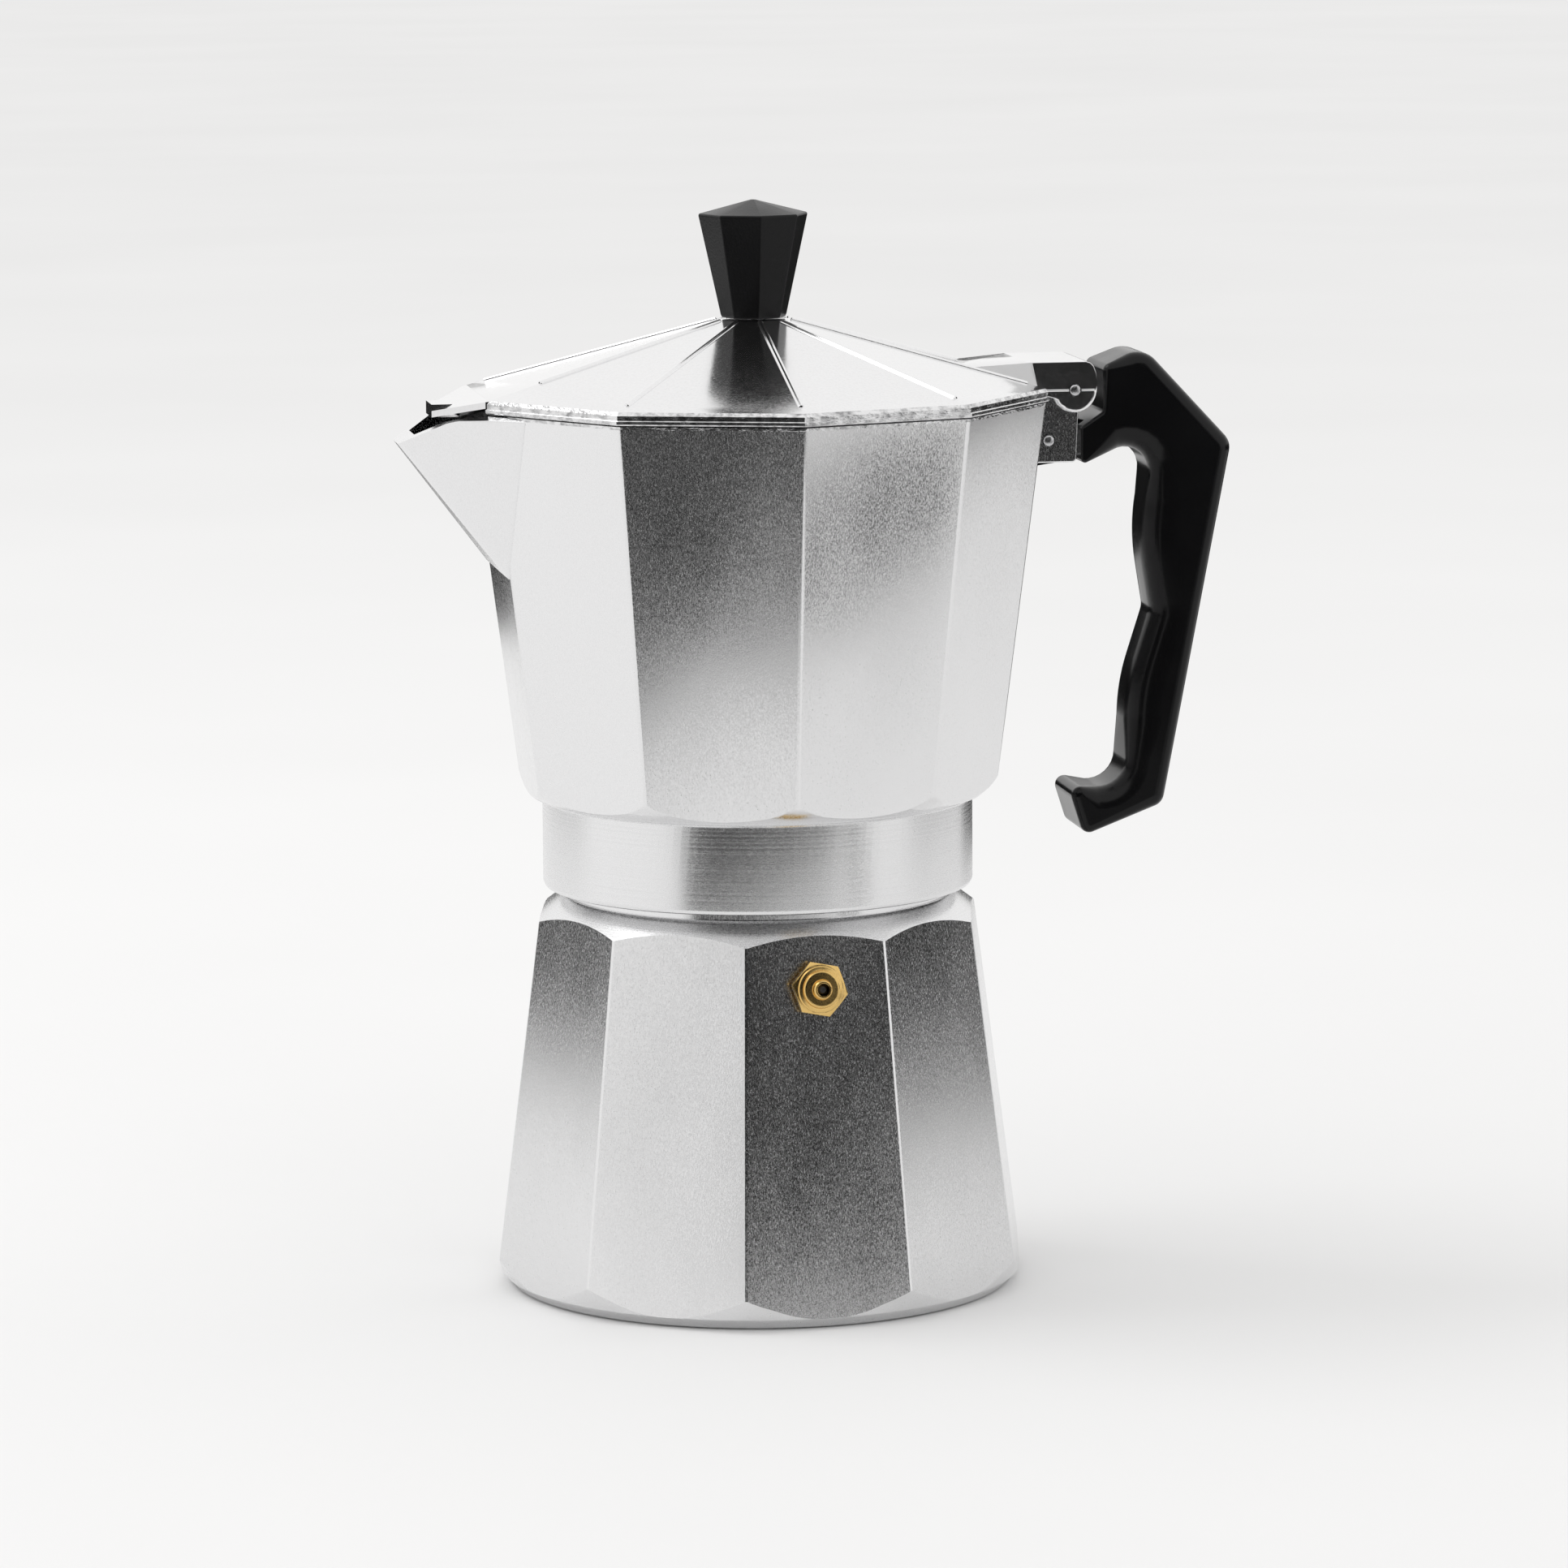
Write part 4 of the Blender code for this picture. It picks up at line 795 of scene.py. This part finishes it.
def makeCollector():
    s = collectorSettings
    hinge = jointNamed("lid_hinge")["pos_m"]
    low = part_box("collector")[0].z
    piece = faceted("collectorShell", [(bodyCorner(s["collarTop"] - 4 * mm), s["collarTop"] - 4 * mm),
                                       (s["rimCorner"], s["rimZ"])])
    pick(piece, "EDGE", lambda a, b: abs(a.z - b.z) > 10 * mm)
    bpy.ops.mesh.bevel(offset=s["crease"], segments=4, affect="EDGES")
    endEdit()
    bulge = [(0, 90.5 * mm), (s["collarRadius"], 90.5 * mm), (s["collarRadius"], s["collarTop"]),
             (s["collarRadius"] + 0.25 * mm, s["collarTop"] + 0.3 * mm),
             (s["collarRadius"] + 0.8 * mm, s["collarTop"] + 0.55 * mm), (43.2 * mm, 94.1 * mm),
             (44.6 * mm, 95.3 * mm), (45.6 * mm, 96.6 * mm), (s["lowCorner"], s["lowZ"]),
             (46.9 * mm, 99.3 * mm), (47.9 * mm, 102 * mm), (60 * mm, 132 * mm),
             (75 * mm, s["rimZ"] + 10 * mm), (0, s["rimZ"] + 10 * mm)]
    combine(piece, turned("bulge", bulge, 160), "INTERSECT")
    spout = wrapped("spoutShape", spoutCorners(0, 0, s["rimZ"]))
    softenEdges(spout, 1.2 * mm, 4, 20)
    join(piece, spout)
    collarOver = s["collarTop"] + 0.2 * mm
    collar = [(0, low), (s["collarRadius"] - 1.0 * mm, low), (s["collarRadius"] - 0.3 * mm, low + 0.3 * mm),
              (s["collarRadius"], low + 1.0 * mm), (s["collarRadius"], collarOver), (0, collarOver)]
    join(piece, turned("collarShape", collar, 160))
    for sign in (1, -1):
        lug = outlined("lugShape", lugOutline(hinge[0], hinge[2]), sign * s["lugIn"], sign * s["lugOut"])
        softenEdges(lug, 0.3 * mm, 3, 40)
        join(piece, lug)
    floor = s["floor"]
    over = s["rimZ"] + 10 * mm
    bowl = faceted("bowlShape", [(bodyCorner(floor) - s["wall"] - 4.5 * mm, floor),
                                 (bodyCorner(floor) - s["wall"] - 2.0 * mm, floor + 1.2 * mm),
                                 (bodyCorner(floor + 4 * mm) - s["wall"] - 0.8 * mm, floor + 4 * mm),
                                 (bodyCorner(over) - s["wall"], over)])
    pick(bowl, "EDGE", lambda a, b: abs(a.z - b.z) > 0.8 * mm)
    bpy.ops.mesh.bevel(offset=2.0 * mm, segments=4, affect="EDGES")
    endEdit()
    cut(piece, bowl)
    channel = wrapped("spoutChannel", spoutCorners(s["wall"], s["wall"] * 1.1, s["rimZ"] + 4 * mm))
    cut(piece, channel)
    slope = (s["lipZ"] - s["tipZ"] - 0.4 * mm) / (s["tipX"] - s["lipX"])
    far = s["tipX"] + 10 * mm
    crest = s["rimZ"] + 6 * mm
    near = s["lipX"] - 6.5 * mm
    lip = outlined("lipCut", [(-near, crest), (-near, s["rimZ"] - 0.7 * mm),
                              (-s["lipX"] + 1.5 * mm, s["lipZ"] + 0.3 * mm),
                              (-s["lipX"] - 0.5 * mm, s["lipZ"] - 0.3 * mm),
                              (-far, s["lipZ"] - slope * (far - s["lipX"])), (-far, crest)],
                   -40 * mm, 40 * mm)
    cut(piece, lip)
    cut(piece, turned("collarBore", collarBore(), 128))
    for x, z in ((hinge[0], hinge[2]), (s["rivetX"], s["rivetZ"])):
        cut(piece, bar("pinHole", s["pinRadius"] + holePlay, -barReach, barReach, x, z))
    softenEdges(piece, 0.18 * mm, 2, 24)
    shadeRound(piece)
    finishPiece(piece, "collector", "cast_aluminium", castAluminium, "collector")
    coat(piece, turnedAluminium, lambda centre, normal: centre.z < collarOver)
    pick(piece, "FACE", lambda centre, normal: centre.z > 100 * mm)
    bpy.ops.mesh.bisect(plane_co=(0, 0, s["rimZ"] - s["raggedHeight"]), plane_no=(0, 0, 1))
    endEdit()
    roughen(piece, s["rimZ"] - s["raggedHeight"], s["rimZ"], bodyCorner(s["rimZ"]) * flatShare - 0.9 * mm)


def collarBore():
    gasketLow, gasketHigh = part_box("gasket")
    plateLow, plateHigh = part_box("filter_plate")
    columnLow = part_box("column")[0].z
    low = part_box("collector")[0].z
    thread = boilerSettings["neckRadius"] + 0.6 * mm
    seat = gasketHigh.x + 0.3 * mm
    recess = plateHigh.x + 0.3 * mm
    top = plateHigh.z + 0.3 * mm
    profile = [(0, low - 2 * mm), (thread, low - 2 * mm)]
    z = low + 1.2 * mm
    pitch = boilerSettings["threadPitch"]
    groove = thread + 0.6 * mm
    while z + pitch < gasketLow.z - 1.0 * mm:                     # ring grooves of the inner thread
        profile += [(thread, z), (groove, z + 0.6 * mm), (groove, z + 1.1 * mm), (thread, z + 1.7 * mm)]
        z += pitch
    column = 8.1 * mm                                             # the hole the column stands in
    profile += [(thread, gasketLow.z - 0.2 * mm), (seat, gasketLow.z + 0.2 * mm), (seat, plateLow.z),
                (recess, plateLow.z), (recess, top), (recess - 3 * mm, top), (column, columnLow),
                (column, columnLow + 8 * mm), (0, columnLow + 8 * mm)]
    return profile


print("collector")
makeCollector()


# lid

lidSettings = {
    "corner": 56.0 * mm, "rimZ": 170.7 * mm, "slope": 0.266, "sheet": 1.2 * mm, "flat": 6.8 * mm,
    "earIn": 9.2 * mm, "earOut": 11.1 * mm, "earRadius": 4.3 * mm, "bridgeTop": 175.3 * mm,
    "bridge": 1.9 * mm,
    "bridgeEnd": 63.2 * mm, "earFlare": 0.8 * mm, "fold": 0.22 * mm, "rampStart": 39.5 * mm,
    "tongueEnd": 61.8 * mm, "tongueHalf": 4.5 * mm, "tongueDrop": 2.6 * mm, "beak": 1.2 * mm,
    "ribWidth": 1.2 * mm, "ribHeight": 0.42 * mm, "ribEnd": 51.9 * mm, "shortRibEnd": 44.9 * mm,
    "ribStart": 7.0 * mm, "screwHole": 2.3 * mm,
}


def lidHeight(corner):
    s = lidSettings
    return s["rimZ"] + s["slope"] * (s["corner"] - corner)


def skirtTop():
    return collectorSettings["rimZ"] + 0.3 * mm


def makeLid():
    s = lidSettings
    hinge = jointNamed("lid_hinge")["pos_m"]
    skirt = skirtTop()
    corner = s["corner"]
    lid = faceted("lidShell", [(corner - 0.25 * mm, skirt), (corner, skirt + 0.25 * mm),
                               (corner, skirt + 0.75 * mm), (corner - 0.3 * mm, skirt + 0.9 * mm),
                               (corner - 0.3 * mm, s["rimZ"] - 0.45 * mm),
                               (corner - 0.75 * mm, lidHeight(corner - 0.75 * mm)),
                               (s["flat"], lidHeight(s["flat"]))])
    addTongue(lid)
    addHinge(lid, hinge)
    inside = corner - s["sheet"]
    hollow = faceted("lidHollow", [(inside, skirt - 4 * mm), (inside, s["rimZ"] - s["sheet"] * 0.8),
                                   (s["flat"], lidHeight(s["flat"]) - s["sheet"] * 1.05)])
    cut(lid, hollow)
    cut(lid, turned("screwHole", [(0, 160 * mm), (s["screwHole"], 160 * mm), (s["screwHole"], 200 * mm),
                                  (0, 200 * mm)], 32))
    cut(lid, bar("earHole", collectorSettings["pinRadius"] + holePlay, -barReach, barReach, hinge[0],
                 hinge[2]))
    addRibs(lid)
    softenEdges(lid, 0.12 * mm, 2, 24)
    shadeRound(lid)
    finishPiece(lid, "lid", "sheet_aluminium", sheetAluminium, "lid")
    roughen(lid, skirt - mm, s["rimZ"] + 0.05 * mm, corner * flatShare - 0.9 * mm)


def addRibs(lid):
    # raised round-ended ribs along the creases
    s = lidSettings
    ribs = None
    for i in range(sides):
        angle = halfStep * (2 * i + 1)
        end = s["shortRibEnd"] if i in (0, 5) else s["ribEnd"]
        start = s["ribStart"]
        length = (end - start) * math.hypot(1, s["slope"])
        deselectAll()
        bpy.ops.mesh.primitive_cylinder_add(vertices=12, radius=s["ribWidth"] / 2, depth=length,
                                            rotation=(0, math.pi / 2 + math.atan(s["slope"]), 0))
        rib = bpy.context.object
        rib.name = "rib"
        bpy.ops.object.transform_apply(location=False, rotation=True, scale=False)
        middle = (start + end) / 2
        rib.location = (middle, 0, lidHeight(middle) - s["ribWidth"] / 2 + s["ribHeight"])
        bpy.ops.object.transform_apply(location=True, rotation=False, scale=False)
        rib.rotation_euler.z = angle
        bpy.ops.object.transform_apply(location=False, rotation=True, scale=False)
        softenEdges(rib, 0.3 * mm, 2, 60)
        if ribs is None:
            ribs = rib
        else:
            focus(rib)
            ribs.select_set(True)
            bpy.context.view_layer.objects.active = ribs
            bpy.ops.object.join()
    join(lid, ribs)


def addTongue(lid):
    # the flap over the spout, its beak, and the gap in the skirt under it
    s = lidSettings
    cornerX = s["corner"] * math.cos(halfStep)
    cornerY = s["corner"] * math.sin(halfStep)
    cut(lid, block("skirtGap", (-70 * mm, -cornerY + 1.2 * mm, 160 * mm),
                   (-cornerX + 2.0 * mm, cornerY - 1.2 * mm, s["rimZ"] - s["sheet"] * 0.9)))
    endZ = s["rimZ"] - s["tongueDrop"]
    top = [(-cornerX + 4 * mm, cornerY - 0.2 * mm, s["rimZ"] + 0.6 * mm),
           (-cornerX, cornerY - 0.2 * mm, s["rimZ"]),
           (-s["tongueEnd"] + 5 * mm, s["tongueHalf"], endZ), (-s["tongueEnd"], s["tongueHalf"], endZ)]
    low = [(x, y, z - s["sheet"]) for x, y, z in top]
    join(lid, wrapped("tongueShape", mirrored(top + low)))
    join(lid, block("beakShape", (-s["tongueEnd"], -s["tongueHalf"], endZ - s["sheet"]),
                    (-s["tongueEnd"] + 5.6 * mm, s["tongueHalf"], endZ + s["beak"])))


def addHinge(lid, hinge):
    # the ramp on the rear facet and the channel whose ears hold the pin
    s = lidSettings
    rimX = s["corner"] * math.cos(halfStep)
    crease = s["corner"] * math.sin(halfStep)
    startRadius = s["rampStart"] / flatShare
    startHalf = startRadius * math.sin(halfStep)
    endX = rimX - 2.0 * mm
    endHalf = crease * endX / rimX
    wedge = [(s["rampStart"], startHalf * 0.92, lidHeight(startRadius) - 0.4 * mm),
             (endX, s["earOut"], s["bridgeTop"]),
             (endX, endHalf * 0.97, lidHeight(endX / flatShare) - 0.4 * mm),
             (s["rampStart"] + 2 * mm, 0, s["bridgeTop"] - 0.4 * mm)]
    join(lid, wrapped("rampShape", mirrored(wedge)))
    end = s["bridgeEnd"]
    top = s["bridgeTop"]
    side = [(endX - mm, top), (end - 1.6 * mm, top), (end - 0.7 * mm, top - 0.3 * mm),
            (end - 0.1 * mm, top - 0.9 * mm), (end + 0.4 * mm, top - 2.2 * mm)]
    side += arcPoints((hinge[0], hinge[2]), s["earRadius"], 10, -160, 16)
    side.append((endX - mm, skirtTop() + 1.2 * mm))
    ears = outlined("earShape", side, -s["earOut"], s["earOut"])
    pick(ears, "EDGE", lambda a, b: abs(abs(a.y) - s["earOut"]) < 1e-5 and abs(b.y - a.y) < 1e-5
         and max(a.z, b.z) < hinge[2] + 0.2 * mm and min(a.x, b.x) > endX - 0.9 * mm)
    bpy.ops.mesh.bevel(offset=s["earFlare"], segments=3, affect="EDGES")
    endEdit()
    softenEdges(ears, 0.35 * mm, 3, 40)
    for sign in (1, -1):
        deselectAll()
        bpy.ops.mesh.primitive_cylinder_add(vertices=12, radius=s["fold"], depth=end - endX,
                                            location=((end + endX) / 2, sign * s["earOut"], hinge[2]),
                                            rotation=(0, math.pi / 2, 0))
        bend = bpy.context.object
        bpy.ops.object.transform_apply(location=True, rotation=True, scale=True)
        join(ears, bend)
    join(lid, ears)
    cut(lid, block("hingeClearance", (rimX - s["sheet"] - 0.1 * mm, -s["earIn"], 150 * mm),
                   (75 * mm, s["earIn"], top - s["bridge"])))


print("lid")
makeLid()


# pins

def makePin(name, node, x, z, half):
    radius = collectorSettings["pinRadius"]
    head = [(0, half), (radius * 0.7, half - 0.01 * mm), (radius * 0.9, half - 0.12 * mm),
            (radius, half - 0.35 * mm)]
    pin = turned(name, [(r, -z) for r, z in head] + head[::-1], 32)
    pin.rotation_euler.x = math.pi / 2
    pin.location = (x, 0, z)
    focus(pin)
    bpy.ops.object.transform_apply(location=True, rotation=True, scale=True)
    shadeRound(pin, 40)
    finishPiece(pin, "collector", "steel", steel, node)


print("pins")
for name, node in (("hingePin", "hinge_pin"), ("handlePin", "handle_pin")):
    low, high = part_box(node)
    makePin(name, node, (low.x + high.x) / 2, (low.z + high.z) / 2, high.y)


# handle

handleSettings = {
    "half": 8.9 * mm, "front": 61.2 * mm, "clear": 65.6 * mm, "jointHalf": 4.6 * mm, "levels": 6,
}


def roundedPlate(name, corners, half, levels):
    # a plate from (x, z, corner radius, edge rounding) corners
    steps = 8
    outline = rounded([corner[:3] for corner in corners], steps)
    roundings = []
    for x, z, radius, rounding in corners:
        roundings += [rounding] * (steps + 1 if radius else 1)
    fine = 0.01 * mm                           # the slices stand this far apart until they are placed
    chain = [(x, -half, z) for x, z in outline]
    piece = startPoint(name, *chain[0])
    drawChain(chain)
    bpy.ops.mesh.select_all(action="SELECT")
    bpy.ops.mesh.edge_face_add()
    for level in range(2 * levels + 1):
        step = fine if level != levels else 2 * half - 2 * levels * fine
        bpy.ops.mesh.extrude_region_move(TRANSFORM_OT_translate={"value": (0, step, 0)})
    cleanMesh(1e-9)
    count = len(outline)
    area = sum(outline[i - 1][0] * outline[i][1] - outline[i][0] * outline[i - 1][1] for i in range(count))
    inward = []
    for i in range(count):
        here = Vector(outline[i])
        before = (here - Vector(outline[i - 1])).normalized()
        after = (Vector(outline[(i + 1) % count]) - here).normalized()
        across = (before + after).normalized()
        reach = 1 / max(across.dot(before), 0.5)
        inward.append(Vector((-across.y, across.x)) * (reach if area > 0 else -reach))
    for vertex in piece.data.vertices:
        spot = Vector((vertex.co.x, vertex.co.z))
        i = min(range(count), key=lambda k: (Vector(outline[k]) - spot).length_squared)
        side = 1 if vertex.co.y > 0 else -1
        angle = round((half - abs(vertex.co.y)) / fine) / levels * math.pi / 2
        place = Vector(outline[i]) + inward[i] * roundings[i] * (1 - math.sin(angle))
        vertex.co = (place.x, side * (half - roundings[i] * (1 - math.cos(angle))), place.y)
    return piece


def makeHandle():
    s = handleSettings
    corners = [                                # round the outline from the joint over the top to the grip
        (s["front"], 0.1555, 0.0008, 0.0006), (s["front"], 0.1626, 0.0009, 0.0007),
        (s["clear"], 0.1656, 0.0010, 0.0008), (s["clear"], 0.1741, 0.0016, 0.0014),
        (0.0736, 0.1775, 0.0050, 0.0026), (0.0907, 0.1591, 0.0036, 0.0026),
        (0.0774, 0.0900, 0.0028, 0.0024), (0.0618, 0.0843, 0.0018, 0.0015),
        (0.0587, 0.0941, 0.0018, 0.0015), (0.0704, 0.0928, 0.0060, 0.0040),
        (0.0707, 0.1120, 0.0400, 0.0064), (0.0755, 0.1270, 0.0040, 0.0064),
        (0.0731, 0.1420, 0.0400, 0.0064), (0.0762, 0.1606, 0.0056, 0.0046)]
    handle = roundedPlate("handleGrip", corners, s["half"], s["levels"])
    back = s["front"] + 3.5 * mm
    joint = outlined("handleJoint", [(0.0535, 0.1551), (back, 0.1567), (back, 0.1630), (0.0575, 0.1650),
                                     (0.0535, 0.1630)], -s["jointHalf"], s["jointHalf"])
    join(handle, joint)
    cut(handle, bar("rivetHole", collectorSettings["pinRadius"] + holePlay, -barReach, barReach,
                    collectorSettings["rivetX"], collectorSettings["rivetZ"]))
    shadeRound(handle, 40)
    handle.visible_glossy = False              # the facets beside the handle don't mirror it
    finishPiece(handle, "collector", "black_plastic", blackPlastic, "handle")


print("handle")
makeHandle()


# knob

knobSettings = {
    "low": 6.3 * mm, "top": 10.4 * mm, "height": 19.3 * mm, "peak": 2.8 * mm, "turn": math.radians(-1.2),
    "bore": 2.3 * mm, "boreDepth": 13 * mm, "boreTip": 14 * mm,
}


def makeKnob():
    s = knobSettings
    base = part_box("knob")[0].z
    knob = faceted("knobGrip", [(s["low"] * 0.96, base), (s["low"], base + 0.6 * mm),
                                (s["top"], base + s["height"]),
                                (s["top"] * 0.985, base + s["height"] + 0.3 * mm),
                                (0.4 * mm, base + s["height"] + s["peak"])], 8, s["turn"])
    cut(knob, turned("knobBore", [(0, 170 * mm), (s["bore"], 170 * mm), (s["bore"], base + s["boreDepth"]),
                                  (0, base + s["boreTip"])], 32))
    softenEdges(knob, 0.3 * mm, 3, 12)
    shadeRound(knob)
    finishPiece(knob, "lid", "black_plastic", stippledPlastic, "knob")


print("knob")
makeKnob()


# finishes of the nodes that stay

def shadeNodes():
    finishes = {"cast_aluminium": castAluminium, "sheet_aluminium": sheetAluminium, "brass": brass,
                "steel": steel, "black_plastic": blackPlastic, "white_rubber": whiteRubber}
    slots = {row["node"]: row["material_slot"] for row in frame["record"]["subparts"]}
    for name, node in frame["nodes"].items():
        node.data.materials.clear()
        # the valve's plunger takes the steel with the painted shade of its hole
        node.data.materials.append(steelInPaintedShade if name == "valve_plunger" else finishes[slots[name]])


print("finishes")
shadeNodes()
low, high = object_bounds()
